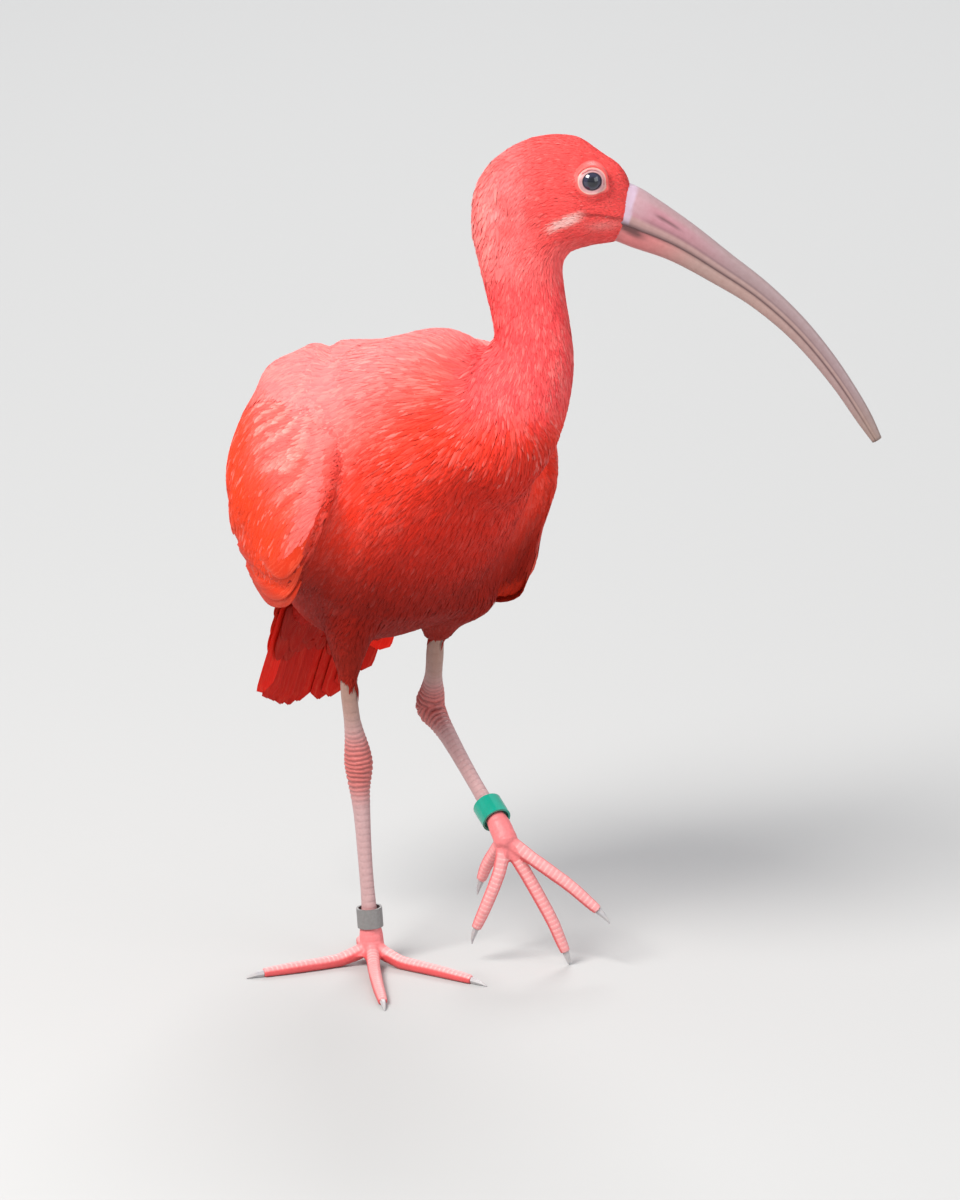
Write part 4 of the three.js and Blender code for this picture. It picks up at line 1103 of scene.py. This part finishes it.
def make_wing(side, label):
    feathers = vanes(f"wing_feathers_{label}", wing_feathers(side),
                     lambda along, share, height: wing_skin(side, along, share, height))
    ready(feathers, "wing", "wing_plumage", f"wing_{label}")

    flesh = wing_body(side, f"wing_flesh_{label}", wing_core)
    # The wing's flesh is painted darker than its feathers, as the shade in the gaps between them
    tint(flesh, np.tile(WING_SHADE * 0.8, (len(flesh.data.vertices), 1)))
    ready(flesh, "skin", "wing_plumage")

    hull = wing_body(side, f"wing_hull_{label}", wing_top)
    ground = Ground(hull)

    def density(points):
        along = body_coordinates(points)[0]
        rim = smoothstep(0.88, 0.95, wing_share(side, points)) * smoothstep(-56, -48, along)
        return np.maximum(smoothstep(-48, -6, along), rim)

    roots, normals, unwrap = ground.scatter(10900 if side < 0 else 8200, density)
    along = body_coordinates(roots)[0]
    radial = unit(roots - body_place(along, 0, 0))
    outer = (normals * radial).sum(1) > -0.8
    outer &= (beyond_wing(roots)[0] < 9) | (along < -34)
    roots, normals, unwrap, radial, along = (of[outer] for of in (roots, normals, unwrap, radial, along))
    count, share = len(roots), wing_share(side, roots)
    turn = -0.36 * smoothstep(5, 40, along) * smoothstep(0.1, 0.5, share) * smoothstep(1.02, 0.94, share)
    back_round = np.cross(radial, BODY_AXIS) * side
    climb = 1.6 * smoothstep(0.35, 0.8, normals @ BODY_AXIS)
    way = radial * column(climb) - BODY_AXIS + back_round * column(turn)
    lies = unit(way - column((way * normals).sum(1)) * normals)
    lies = unit(lies + np.cross(normals, lies) * column(rng.normal(0, 0.05, count)))
    front = smoothstep(5, 40, along)
    bright = smoothstep(12, 34, along) * smoothstep(1.0, 0.75, share)
    bands = np.sin((share * 77 - 0.33 * along) * 1.2 + 1.2 * patches(roots, 14.0))
    strength = bright * smoothstep(-0.3, 0.9, bands) * rng.uniform(0.35, 0.85, count)
    strength = np.maximum(strength, 0.6 * smoothstep(-36, -50, along) * smoothstep(0.86, 0.95, share))
    strength = np.maximum(strength, (rng.random(count) < 0.12) * rng.uniform(0.1, 0.35, count))
    wall = smoothstep(0.96, 1.0, share)
    # A painted highlight: a pink rim along the wing's front end and its lower edge, kept off the wall
    rim = smoothstep(44, 51, along) + smoothstep(0.84, 0.93, share) * smoothstep(-30, 30, along)
    rim = column(rim.clip(0, 1) * 0.5)
    pink = (0.32 + 0.3 * patches(roots, 18.0)) * smoothstep(-6, 42, along) + 0.3 * bright
    base = mix(ORANGE_RED, SCARLET_BACK, column(pink))
    # Painted shade: darker in the valleys between the folds of the long feathers, along the lower edge behind
    # the shoulder, over the whole far wing, and 15% darker on the wing's wall
    valleys = wing_folds(along, share)
    dim = 0.2 * valleys + 0.22 * smoothstep(0.82, 1.0, share) * smoothstep(26, -6, along)
    base = mix(base, WING_SHADE * 0.6, column(np.clip(dim + (0.35 if side > 0 else 0), 0, 1)))
    shaded_wall_tint = mix(WING_SHADE * 0.85, markings(roots)[0] * 0.85, column(smoothstep(-30, 0, along)))
    base = mix(base * column(1 + rng.normal(0, 0.05, count)), shaded_wall_tint, column(wall))
    base = mix(base, EDGE_HIGHLIGHT_PINK, rim * (1 - column(wall)))
    sizes = rng.uniform(0.8, 1.2, count) * mix(18, 9, front)
    # The roots are painted 4% darker than the tips, as shade under the feathers over them
    piece = tufts(f"wing_shoulder_{label}", OverGround(ground, roots, lies, sizes), unwrap, LONG_ROWS,
                  rng.uniform(0.8, 1.25, count) * mix(2.0, 1.6, front), rng.uniform(0.4, 0.8, count),
                  base * 0.96, mix(base, BAND_PALE, column(strength * (1 - wall))), 0.4)
    ready(piece, "coat", "wing_plumage")
    return hull


# Where the feathers over the near shoulder bulge: how high, then place along the body and its length, and
# degrees round the body and their width
MANTLE_BULGES = [(3.4, 50, 11, 23, 6), (5.4, 50, 7, 31, 6), (2.8, 28, 10, 43, 8)]


def make_mantle(skin, wings):
    """Feathers of the shoulders and flanks, which run on from the body over the wings' edges."""
    drape = joined_copy((*wings, skin), "drape")
    for hull in wings:
        bpy.data.objects.remove(hull)
    apply_modifier(drape, "REMESH", mode="VOXEL", voxel_size=0.002)
    for rounds in (160, 100, 100):
        points, normals = points_of(drape), normals_of(drape)
        apply_modifier(drape, "SMOOTH", factor=0.5, iterations=rounds)
        smoothed = points_of(drape)
        hollow = smoothstep(-0.2, 1.0, ((smoothed - points) * normals).sum(1))
        move_points(drape, mix(points, smoothed, column(hollow)))
    apply_modifier(drape, "SMOOTH", factor=0.5, iterations=10)
    points = points_of(drape)
    along, side, dorsal = body_coordinates(points)
    angle = np.degrees(np.arctan2(np.abs(side), dorsal))
    bulge = sum(high * hump(along, place, long) * hump(angle, turn, wide)
                for high, place, long, turn, wide in MANTLE_BULGES) * smoothstep(2, -12, side)
    move_points(drape, points + normals_of(drape) * column(bulge))
    unwrap_skin(drape)
    ground = Ground(drape)
    bpy.data.objects.remove(drape)

    def shoulders(points):
        out, angle = beyond_wing(points)
        along = body_coordinates(points)[0]
        return smoothstep(-3, 1, out) * (angle < 87) * smoothstep(80, 62, along) * smoothstep(-78, -60, along)

    def flanks(points):
        out, angle = beyond_wing(points)
        along = body_coordinates(points)[0]
        zone = smoothstep(-1, 0.5, out) * smoothstep(24, 13, out) * (angle > 87)
        return zone * smoothstep(-12, 0, along)

    def make(name, count, density, lift, soft):
        roots, normals, unwrap = ground.scatter(count, density)
        along = body_coordinates(roots)[0]
        lies = lie_at(roots, normals)
        lies = unit(lies + np.cross(normals, lies) * column(rng.normal(0, 0.07, count)))
        length = mix(15.0, 20.0, smoothstep(40, -20, along)) * rng.uniform(0.75, 1.2, count)
        room = -soft * rng.uniform(0.2, 1.0, count) * mix(2.2, 1.0, smoothstep(20, 40, along))
        for shorter in (0.55, 0.3):
            over = beyond_wing(roots + lies * column(length))[0] < room
            length = np.where(over, length * shorter, length)
        clear = beyond_wing(roots + lies * column(length))[0] > room
        roots, unwrap, lies, length = roots[clear], unwrap[clear], lies[clear], length[clear]
        count = len(roots)
        base, pale, _ = markings(roots)
        is_pale = rng.random(count) < np.clip(1.4 * pale * (1 + patches(roots, 9.0)), 0, 1)
        dim = 1 - 0.8 * smoothstep(-8, -34, body_coordinates(roots)[2])
        strength = column(is_pale * dim * rng.uniform(0.05, 0.36, count))
        out, angle = beyond_wing(roots)
        along = body_coordinates(roots)[0]
        over_wing = smoothstep(16, 2, out) * smoothstep(44, 16, along) * smoothstep(90, 84, angle)
        base = mix(base, ORANGE_RED, column(0.7 * over_wing))
        # Painted shadow: a darker line on the body's feathers just outside the near wing's edge, with fewer
        # pale tips in it
        edge = hump(out, 1.0, 2.6) * smoothstep(62, 74, angle) * smoothstep(-14, 0, along)
        base = base * column((1 - 0.26 * edge) * (1 + rng.normal(0, 0.05, count)))
        strength = strength * column(1 - 0.8 * np.maximum(edge, over_wing))
        # The roots are painted 5% darker than the tips, as shade under the feathers over them
        piece = tufts(name, OverGround(ground, roots, lies, length), unwrap, LONG_ROWS,
                      rng.uniform(1.4, 2.1, count), lift * rng.uniform(0.85, 1.15, count), base * 0.95,
                      mix(base, PALE_PINK, strength), 0.6)
        ready(piece, "coat", "body_plumage")

    make("mantle", 10900, shoulders, 0.95, 5.0)
    make("coat_flanks", 6000, flanks, 1.0, 0.8)


TAIL_LENGTH = 70.0
TAIL_ROOT = (-74.0, 0.0, -4.0)
TAIL_DROP = math.radians(14)
# Ends of the six tail feathers of each side, from the middle outward
TAIL_ENDS = {-1: (82, 82.5, 79, 74, 69, 62), 1: (78, 82, 80, 74, 62, 48)}


def on_tail(along, share, height):
    """A place on the tail: share runs from -1 to 1 across it."""
    half = mix(34.0, 33.5, along / TAIL_LENGTH)
    dorsal = 5 * (1 - share * share) + height
    back = -math.cos(TAIL_DROP) * along + math.sin(TAIL_DROP) * dorsal
    rise = -math.sin(TAIL_DROP) * along + math.cos(TAIL_DROP) * dorsal
    return body_place(TAIL_ROOT[0] + back, TAIL_ROOT[1] + share * half, TAIL_ROOT[2] + rise)


def make_tail():
    feathers = []

    def add(tier, index, count, middle, half, start, end, heights, colour, taper, roundness):
        feathers.append({
            "middle": middle, "half": half, "from": start, "to": end, "heights": heights, "rise": 0.6,
            "tilt": 0.0, "camber": 0.3, "taper": taper, "round": roundness, "bend": 0.0, "root": 0.9,
            "wave": rng.uniform(6, 12), "tint": colour,
            "patch": (0.02 + 0.96 * index / count, 0.02 + 0.2 * tier, 0.9 / count, 0.18),
        })

    for i in range(6):
        for side in (-1, 1):
            drop = (0.6 if i == 0 and side == 1 else 0) - 0.6 * i - 0.6
            # The outermost feather of each side is painted 1.7 times brighter, a painted highlight along the
            # tail's outer edges
            red = TAIL_RED * (1 + rng.normal(0, 0.06)) * (1.7 if i == 5 else 1)
            end = TAIL_ENDS[side][i] + rng.uniform(-0.4, 0.4)
            add(0, i * 2 + (side + 1) // 2, 12, side * (i + 0.5) / 6.1, 0.17, 6, end, (drop, drop),
                web_tint(red, red, 0.9, red * 1.25, 0.4), 0.86 if i > 3 else 0.92, 3.0)
    for row, (count, start, end, height) in enumerate([(9, 16, 47, 2.2), (8, 8, 38, 3.4), (7, 0, 28, 4.6)]):
        for i in range(count):
            share = (i + 0.5) / count * 2 - 1
            red = mix(TAIL_RED, ORANGE_RED, 0.35) * (1 + rng.normal(0, 0.08))
            tip = end - 5 * abs(share) + rng.uniform(-2, 2)
            add(1 + row, i, count, share * 0.95, 1.5 / count, start, tip, (0.6, height - 1.5 * abs(share)),
                web_tint(red, red, 0.9, WING_PALE, 0.08), 0.5, 2.0)
    for row, (count, start, end, height) in enumerate([(9, 16, 50, -1.5), (8, 6, 38, -2.7)]):
        for i in range(count):
            share = (i + 0.5) / count * 2 - 1
            # Under the tail the coverts take half of the belly's red, which is partly painted shade
            red = mix(TAIL_RED, BELLY_RED_AND_SHADE, 0.5) * (1 + rng.normal(0, 0.06))
            tip = end - 5 * abs(share) + rng.uniform(-7, 5)
            add(3.4 + row * 0.7, i, count, share * 0.9, 1.5 / count, start, tip,
                (-5, height - 3.8 * abs(share)), web_tint(red, red, 0.9, PALE_PINK, 0.02), 0.4, 1.6)
    piece = vanes("tail_feathers", feathers, on_tail)
    ready(piece, "tail", "tail_plumage", "tail")

    rings, angles = [], whole_turn(32)
    for along in np.linspace(-8, 40, 12):
        size = 1 - 0.92 * smoothstep(2, 38, along)
        across = np.cos(angles) * mix(0.86, 0.6, smoothstep(0, 38, along))
        middle = mix(-4.5, 0.6 - 3.6 * np.abs(across), smoothstep(4, 36, along))
        rings.append(on_tail(np.full(32, along), across, middle + np.sin(angles) * 7.5 * size))
    stump, row, turn = lofted("tail_flesh", rings, rings[0].mean(0), rings[-1].mean(0))
    lay_uv(stump, "OFBake", np.stack([turn, row], axis=1))
    # The stump is painted darker than the tail, as the shade in the gaps between its feathers
    tint(stump, np.tile(TAIL_RED * 0.7, (len(stump.data.vertices), 1)))
    ready(stump, "skin", "tail_plumage")

    ground = Ground(stump)
    roots, _, unwrap = ground.scatter(2200, evenly(1.0))
    count = len(roots)
    lies = unit(-BODY_AXIS + rng.normal(0, 0.07, (count, 3)))
    # The coverts mix the belly's red, which is partly painted shade, with the tail's red. Their roots are
    # painted 5% darker as shade under the feathers over them
    red = mix(BELLY_RED_AND_SHADE, TAIL_RED, column(rng.uniform(0.5, 1.0, count)))
    walk = OverGround(ground, roots, lies, rng.uniform(8, 24, count))
    piece = tufts("tail_coverts", walk, unwrap, LONG_ROWS, rng.uniform(1.6, 2.6, count),
                  rng.uniform(0.3, 0.8, count), red * 0.95, red)
    ready(piece, "coat", "tail_plumage")


# Bill and eyes

BILL_STATIONS = [(112, 377.5, 18.5, 11, 10), (119, 376.7, 16.9, 11.2, 9.4), (128, 373, 15.2, 11, 8.8),
                 (145, 365, 11.6, 9.3, 7.2), (165, 352, 9.0, 7.4, 5.6), (185.6, 337, 7.4, 5.8, 4.4),
                 (206, 317, 6.2, 4.6, 3.7), (223.4, 294, 5.2, 3.6, 3.1), (234.6, 276, 4.2, 2.8, 2.7),
                 (240.5, 266, 2.6, 1.6, 2.2)]


# The lid's outline from its inner edge outward and back: radius, depth and share of its corner. Then how far
# its rows from the fourth on stand over the skin
LID_OUTLINE = [(4.2, 3.95, 0.0), (4.45, 4.2, 0.0), (4.8, 4.3, 0.3), (6.0, 4.1, 0.3), (6.25, 4.12, 0.6),
               (6.45, 4.0, 0.6), (6.8, 3.75, 0.88), (7.2, 3.6, 1.0), (7.6, 3.3, 1.0), (7.95, 3.0, 1.0),
               (8.5, 2.4, 1.0), (9.3, 1.6, 1.0), (8.6, 0.4, 1.0), (6.0, 0.2, 1.0), (5.0, 2.6, 0.5)]
LID_OVER_SKIN = (1.2, 1.1, 0.95, 0.7, 0.45, 0.35, 0.2, 0.0, -0.8, -2.2)
# The lid's colours from its inner edge outward
LID_COLOURS = np.array([(0.10, 0.06, 0.07), (0.62, 0.33, 0.34), (0.76, 0.45, 0.39), (0.86, 0.11, 0.10)])


def make_eyes(ground):
    for side, label in ((-1, "right"), (1, "left")):
        centre = head_place(EYE_PLACE[0], side * EYE_PLACE[1], EYE_PLACE[2])
        look = eye_look(side)
        rings = []
        over = unit(np.cross(look, HEAD_AXIS))
        front = np.cross(over, look)
        for angle in np.linspace(0, math.pi, 26)[1:-1]:
            turn = whole_turn(40)
            ring = column(np.cos(turn)) * front + column(np.sin(turn)) * over
            size = EYE_RADIUS + 0.2 * hump(angle, 0, 0.5)
            rings.append(centre + size * (look * math.cos(angle) + ring * math.sin(angle)))
        ends = (centre + look * (EYE_RADIUS + 0.2), centre - look * EYE_RADIUS)
        ball, row, turn = lofted(f"eyeball_{label}", rings, *ends)
        lay_uv(ball, "OFBake", np.stack([turn, row], axis=1))
        angle = row * math.pi
        iris = rgb(0.022, 0.022, 0.050)
        black = rgb(0.004, 0.005, 0.012)
        dull = 0.02 * column(smoothstep(0.9, 1.1, angle))
        tint(ball, mix(black, iris, column(smoothstep(0.42, 0.52, angle))) + dull)
        ready(ball, "eye", "eye", f"eye_{label}")

        turn = whole_turn(64)
        corner = hump((turn - side * 0.6 + math.pi) % (2 * math.pi), math.pi, 0.3)
        ring = column(np.cos(turn)) * front * 1.03 + column(np.sin(turn)) * over * 0.97
        count = len(LID_OUTLINE)
        points = np.concatenate([centre + ring * column(radius * (1 + 0.24 * corner * share)) + look * depth
                                 for radius, depth, share in LID_OUTLINE])
        for row, over_skin in enumerate(LID_OVER_SKIN, start=3):
            part = slice(row * 64, row * 64 + 64)
            place, normal = ground.below(points[part], look)
            high = (place + normal * over_skin - points[part]) @ look
            high = np.mean([np.roll(high, k) for k in range(-2, 3)], axis=0)
            if row < 7:
                high = np.clip(high, -1.5, 0)
            elif row < 10:
                high = np.maximum(high, -1.85 * (LID_OUTLINE[row][0] - 6.8))
            elif row == 12:
                high = np.minimum(high, 0)
            points[part] = points[part] + look * column(high)
        index = np.arange(count * 64).reshape(count, 64)
        nxt, side_way = np.roll(index, -1, axis=0), np.roll(index, -1, axis=1)
        both = np.roll(nxt, -1, axis=1)
        faces = np.stack([index, side_way, both, nxt], -1).reshape(-1, 4)
        lid = from_arrays(f"eyelid_{label}", points, [faces])
        edit_all(lid, bpy.ops.mesh.normals_make_consistent, inside=False)
        rim = np.repeat([share for radius, depth, share in LID_OUTLINE], 64)
        dark, fleshy, cream, scarlet = LID_COLOURS
        colour = mix(dark, fleshy, column(smoothstep(0.0, 0.3, rim)))
        colour = mix(colour, cream, column(smoothstep(0.3, 0.6, rim)))
        tint(lid, mix(colour, scarlet, column(smoothstep(0.62, 0.9, rim))))
        around = np.tile(turn / (2 * math.pi), count)
        for layer in ("OFBake", "Lie"):
            lay_uv(lid, layer, np.stack([around, np.repeat(np.arange(count) / count, 64)], axis=1))
        ready(lid, "face", "body_plumage")


# The bill's groove and nostril: height over the seam as a share of the half's depth, and place along it
GROOVE_HEIGHT, NOSTRIL_HEIGHT, NOSTRIL_SHARE = 0.36, 0.60, 0.185


def make_bill():
    forward = 112 + (239.5 - 112) * np.linspace(0, 1, 150) ** 0.95
    seam, upper, lower, half = np.moveaxis(rounded(BILL_STATIONS, forward), -1, 0)
    slope = np.gradient(seam, forward)
    normal = unit(np.stack([-slope, np.ones_like(slope)], axis=1))
    turn = whole_turn(56)
    share = (forward - forward[0]) / (forward[-1] - forward[0])
    for label, is_upper, depth in (("upper", True, upper), ("lower", False, lower)):
        side = np.sign(np.cos(turn)) * np.abs(np.cos(turn)) ** (0.8 if is_upper else 0.85)
        rise = np.where(np.sin(turn) > 0, np.sin(turn), np.sin(turn) * 0.10)
        rings = []
        for k in range(len(forward)):
            groove = 0.055 * hump(rise, GROOVE_HEIGHT, 0.07) * smoothstep(0.03, 0.10, share[k])
            groove = groove * (1 - smoothstep(0.9, 1, share[k]))
            nostril = 0.14 * hump(rise, NOSTRIL_HEIGHT, 0.06) * hump(share[k], NOSTRIL_SHARE, 0.04)
            wide = side * (1 - (groove + nostril) * is_upper - 0.03 * hump(rise, 0.12, 0.05))
            away = (0.12 + rise * depth[k]) * (1 if is_upper else -1)
            centre = head_place(forward[k] + normal[k, 0] * away, 0 * away, seam[k] + normal[k, 1] * away)
            rings.append(centre + column(wide * half[k] * (1 if is_upper else 0.93)) * HEAD_LEFT)
        rings = np.array(rings)
        piece, row, around = lofted(f"bill_{label}_horn", rings, rings[0].mean(0), rings[-1].mean(0))
        lay_uv(piece, "OFBake", np.stack([around, row], axis=1))
        height = np.interp(around, np.append(turn / (2 * math.pi), 1), np.append(rise, rise[0]))
        share_at = np.clip((row * 151 - 1) / 149, 0, 1)
        ahead = head_coordinates(points_of(piece))[0]
        mauve, beige = rgb(0.46, 0.21, 0.25), rgb(0.43, 0.29, 0.26)
        grey, tip, dark = rgb(0.32, 0.225, 0.23), rgb(0.31, 0.22, 0.18), rgb(0.10, 0.05, 0.055)
        pale_ridge, lilac, rose = rgb(0.45, 0.34, 0.34), rgb(0.58, 0.46, 0.58), rgb(0.50, 0.33, 0.36)
        if is_upper:
            colour = mix(mauve, grey, column(smoothstep(0.12, 0.5, share_at)))
            colour = mix(colour, beige, column(smoothstep(0.34, 0.24, height) * 0.75))
            groove = hump(height, GROOVE_HEIGHT, 0.045) * smoothstep(0.07, 0.14, share_at)
            colour = mix(colour, dark, column(groove * 0.6))
            slit = hump(height, NOSTRIL_HEIGHT, 0.036) * hump(share_at, NOSTRIL_SHARE, 0.045, 4)
            colour = mix(colour, dark, column(np.clip(slit * 1.3, 0, 1) * 0.85))
            colour = mix(colour, pale_ridge, column(smoothstep(0.74, 0.92, height) * 0.6))
            past = ahead - 121.3 - 3.9 * height
            colour = mix(colour, rose, column(smoothstep(14, 2, past) * smoothstep(0.2, 0.5, height) * 0.7))
            colour = mix(colour, lilac, column(smoothstep(1.8, 0.9, past) * 0.9))
        else:
            red = rgb(0.62, 0.20, 0.20)
            colour = mix(red, beige, column(smoothstep(0.1, 0.36, share_at)))
            colour = mix(colour, grey, column(smoothstep(0.5, 0.9, share_at) * 0.6))
            spot = hump(ahead, 123.5, 5.6) * hump(height - (ahead - 123.5) * 0.010, 0.17, 0.17)
            colour = mix(colour, rgb(0.09, 0.035, 0.035), column(np.clip(spot * 1.7, 0, 1) * 0.92))
        colour = mix(colour, dark, column(hump(height, 0, 0.09) * 0.85))
        colour = mix(colour, tip, column(smoothstep(0.86, 1.0, share_at) * 0.7))
        tint(piece, colour)
        ready(piece, "bill", "bill", f"bill_{label}")


# Legs, feet, claws and rings

# Each leg's middle line from the thigh to the knuckle, its toes' lines from the knuckle, the way that its
# front faces, and the way that the toes' upper sides face
LEGS = {
    "right": {
        "line": [(-1, -25, 158), (-2.5, -24, 139), (-4.5, -21, 122), (-6.2, -17.5, 108), (-6.6, -16, 98),
                 (-6.2, -15.8, 87), (-5, -15.2, 74), (-3, -14.6, 50), (-1, -13.8, 28), (0, -13.3, 15),
                 (1, -13.3, 9)],
        "toes": [[(-2.5, -28, 3), (-5, -49, 2.3), (-9.3, -74, 1.4)],
                 [(14, -20.5, 3.2), (38, -33, 2.3), (65, -46, 1.5)],
                 [(14, -7, 3.2), (34, 2, 2.3), (58.6, 12.6, 1.4)],
                 [(-9, -10.5, 5), (-18, -6.5, 2.5), (-30, -1, 1.4)]],
        "front": (1, -0.3, 0), "top": (0, 0, 1), "heel": (-6.6, -16, 98),
    },
    "left": {
        "line": [(-14, 33, 161), (-21, 36, 144), (-29, 40, 128), (-35.5, 43.2, 116.5), (-38.5, 44, 108),
                 (-31, 43.6, 103.5), (-20, 43, 97.5), (0, 41.6, 85.5), (20, 40.2, 74), (30, 39.5, 68.5),
                 (36, 39.5, 62.5)],
        "toes": [[(45, 47, 55), (58, 61, 42), (69.5, 75.5, 26)],
                 [(42, 46.5, 47), (49.5, 56.5, 24), (53.5, 65, 1.4)],
                 [(37, 36, 48), (33.5, 31, 31), (27.2, 27, 14)],
                 [(27, 39, 53), (21.5, 38.2, 45.5), (16, 37.7, 35)]],
        "front": (0.6, -0.3, 0.75), "top": (0.8, -0.35, 0.5), "heel": (-38.5, 44, 108),
    },
}


class Line:
    """A smooth line through places, cut into short steps."""

    def __init__(self, places):
        places = np.asarray(places, float)
        steps = np.concatenate([[0], np.cumsum(np.linalg.norm(np.diff(places, axis=0), axis=1))])
        self.along = np.arange(0, steps[-1], 0.5)
        self.places = rounded(np.column_stack([steps, places]), self.along)
        self.ways = unit(np.gradient(self.places, axis=0))

    def near(self, points):
        """For each point: how far it is from the line, how far along, and the way out from it."""
        best = np.empty(len(points), int)
        for start in range(0, len(points), 4000):
            block = points[start:start + 4000]
            best[start:start + 4000] = ((block[:, None] - self.places) ** 2).sum(-1).argmin(1)
        out = points - self.places[best]
        ways = self.ways[best]
        extra = (out * ways).sum(1)
        out = out - column(extra) * ways
        return np.linalg.norm(out, axis=1), self.along[best] + extra, unit(out), ways


def scute(along, spacing):
    """A raised plate for each stretch of a limb: 1 on the plate and 0 in the groove before the next."""
    phase = (along / spacing) % 1
    return 1 - np.abs(2 * phase - 1) ** 6


def leg_markings(leg, points):
    """How far the skin stands out and its colour: plates down the front and along the toes' tops,
    creases round the heel, small scales elsewhere."""
    knuckle = leg["line"][-1]
    reach, along, out, ways = Line(leg["line"]).near(points)
    length = Line(leg["line"]).along[-1]
    front = unit(np.array(leg["front"], float) - column((ways * leg["front"]).sum(1)) * ways)
    facing = smoothstep(0.25, 0.7, (out * front).sum(1))
    heel = hump(np.linalg.norm(points - leg["heel"], axis=1), 0, 17, 4)
    plates = scute(along + 0.8 * (1 - facing), 3.3)
    raise_by = 0.22 * (plates - 1) * facing * (1 - heel) - 1.2 * smoothstep(30, 18, along)
    ripple = np.sin(along * 2.6 + patches(points, 5.0) * 1.6)
    raise_by += heel * 0.34 * (ripple - 0.6)
    tan, shadow, shadow_brown = rgb(0.53, 0.34, 0.34), rgb(0.8, 0.72, 0.72), rgb(0.34, 0.20, 0.14)
    coral, pink = rgb(0.58, 0.14, 0.125), rgb(0.84, 0.27, 0.28)
    red, white = rgb(0.72, 0.095, 0.10), rgb(0.93, 0.62, 0.60)
    colour = mix(tan, tan * 0.78, column((1 - plates) * facing))
    colour = mix(colour, tan * shadow, column(smoothstep(0.2, -0.6, (out * front).sum(1))))
    crease = smoothstep(0.1, -0.8, ripple)
    # Painted shadow: the shank's top is painted dark brown, for the shade under the thigh feathers
    above = smoothstep(50, 26, along)
    colour = mix(colour, shadow_brown, column(above * 0.8))
    colour = mix(colour, mix(coral, coral * 0.6, column(crease)), column(heel))
    foot = smoothstep(length - 22, length - 10, along)
    colour = mix(colour, mix(pink, red, 0.35), column(foot))
    best = np.where(foot > 0.5, reach, 1e9)
    for bends in leg["toes"]:
        line = Line([knuckle, *bends])
        reach_toe, along_toe, out_toe, ways_toe = line.near(points)
        top = unit(np.array(leg["top"], float) - column((ways_toe * leg["top"]).sum(1)) * ways_toe)
        mine = (reach_toe < best) & (along_toe > 4) & (reach_toe < 7)
        best = np.where(mine, reach_toe, best)
        up = smoothstep(0.3, 0.75, (out_toe * top).sum(1))
        plate = scute(along_toe, 2.4)
        toe_colour = mix(red, pink, column(up))
        toe_colour = mix(toe_colour, white, column((1 - plate) * up * 0.85 + up * 0.16))
        share = smoothstep(4, 9, along_toe) * mine
        raise_by = np.where(mine, mix(raise_by, 0.2 * (plate - 1) * up, share), raise_by)
        colour = np.where(column(mine), mix(colour, toe_colour, column(share)), colour)
    return raise_by, colour * (1 + 0.05 * column(patches(points, 3.0)))


def make_leg(label, leg):
    nodes = [f"{part}_{label}" for part in ("shank", "heel", "tarsus", "foot")]
    nodes += [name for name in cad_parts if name.startswith(f"toe_{label}")]
    skin = copy_of(nodes, f"leg_skin_{label}", 0.55, 7)
    points, normals = points_of(skin), normals_of(skin)
    raise_by, colour = leg_markings(leg, points)
    _, along, _, ways = Line(leg["line"]).near(points)
    points = points + normals * column(raise_by - 0.1) - ways * column(np.maximum(34 - along, 0) * 0.9)
    points[:, 2] = np.maximum(points[:, 2], 0.05)
    move_points(skin, points)
    tint(skin, colour)
    unwrap_skin(skin)
    ready(skin, "leg", "leg_skin", *nodes)
    return skin


def make_finishes():
    FINISHES["coat"] = plumage_finish("small_feathers", 0.68, 3.0, 22.0)
    FINISHES["wing"] = plumage_finish("wing_feathers", 0.6, 150.0, 0.0, 1.1)
    FINISHES["tail"] = plumage_finish("tail_feathers", 0.6, 150.0, 0.0, 0.6)
    FINISHES["skin"] = flesh_finish("skin_under_feathers", 0.7, 700.0, 0.0002)
    FINISHES["face"] = flesh_finish("bare_face_skin", 0.5, 1500.0, 0.0002)
    FINISHES["bill"] = flesh_finish("bill_horn", 0.38, 420.0, 0.0001)
    FINISHES["leg"] = flesh_finish("leg_scales", 0.48, 900.0, 0.0002)
    eye = Finish("eye_surface", 0.06, Coat_Weight=0.6, Coat_Roughness=0.03)
    eye.colour(eye.attribute("Tint"))
    FINISHES["eye"] = eye
    claw = Finish("claw_horn", 0.35)
    claw.colour(claw.blend((0.50, 0.46, 0.43), (0.36, 0.36, 0.40), claw.speckle(500.0)))
    FINISHES["claw"] = claw
    metal = Finish("grey_ring_metal", 0.45, Metallic=0.45)
    metal.colour(metal.blend((0.20, 0.195, 0.19), (0.29, 0.285, 0.28), metal.speckle(700.0, 5.0)))
    metal.bump(metal.speckle(1800.0), 0.3, 0.0001)
    FINISHES["grey"] = metal
    green = Finish("green_ring_plastic", 0.25, Coat_Weight=0.3, Coat_Roughness=0.1)
    green.colour(green.blend((0.0, 0.25, 0.17), (0.004, 0.34, 0.24), green.speckle(350.0, 3.0)))
    FINISHES["green"] = green


def dress_nodes():
    """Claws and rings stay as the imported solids."""
    for start, finish in (("claw", "claw"), ("ring_grey", "grey"), ("ring_green", "green")):
        for name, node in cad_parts.items():
            if name.startswith(start):
                FINISHES[finish].wear(node)


make_finishes()
set_the_stage()
skin = make_skin()
leg_skins = [make_leg(label, leg) for label, leg in LEGS.items()]
ground = Ground(skin)
make_coat(ground, Ground(skin, *leg_skins))
make_mantle(skin, [make_wing(-1, "right"), make_wing(1, "left")])
make_tail()
make_bill()
make_eyes(ground)
dress_nodes()
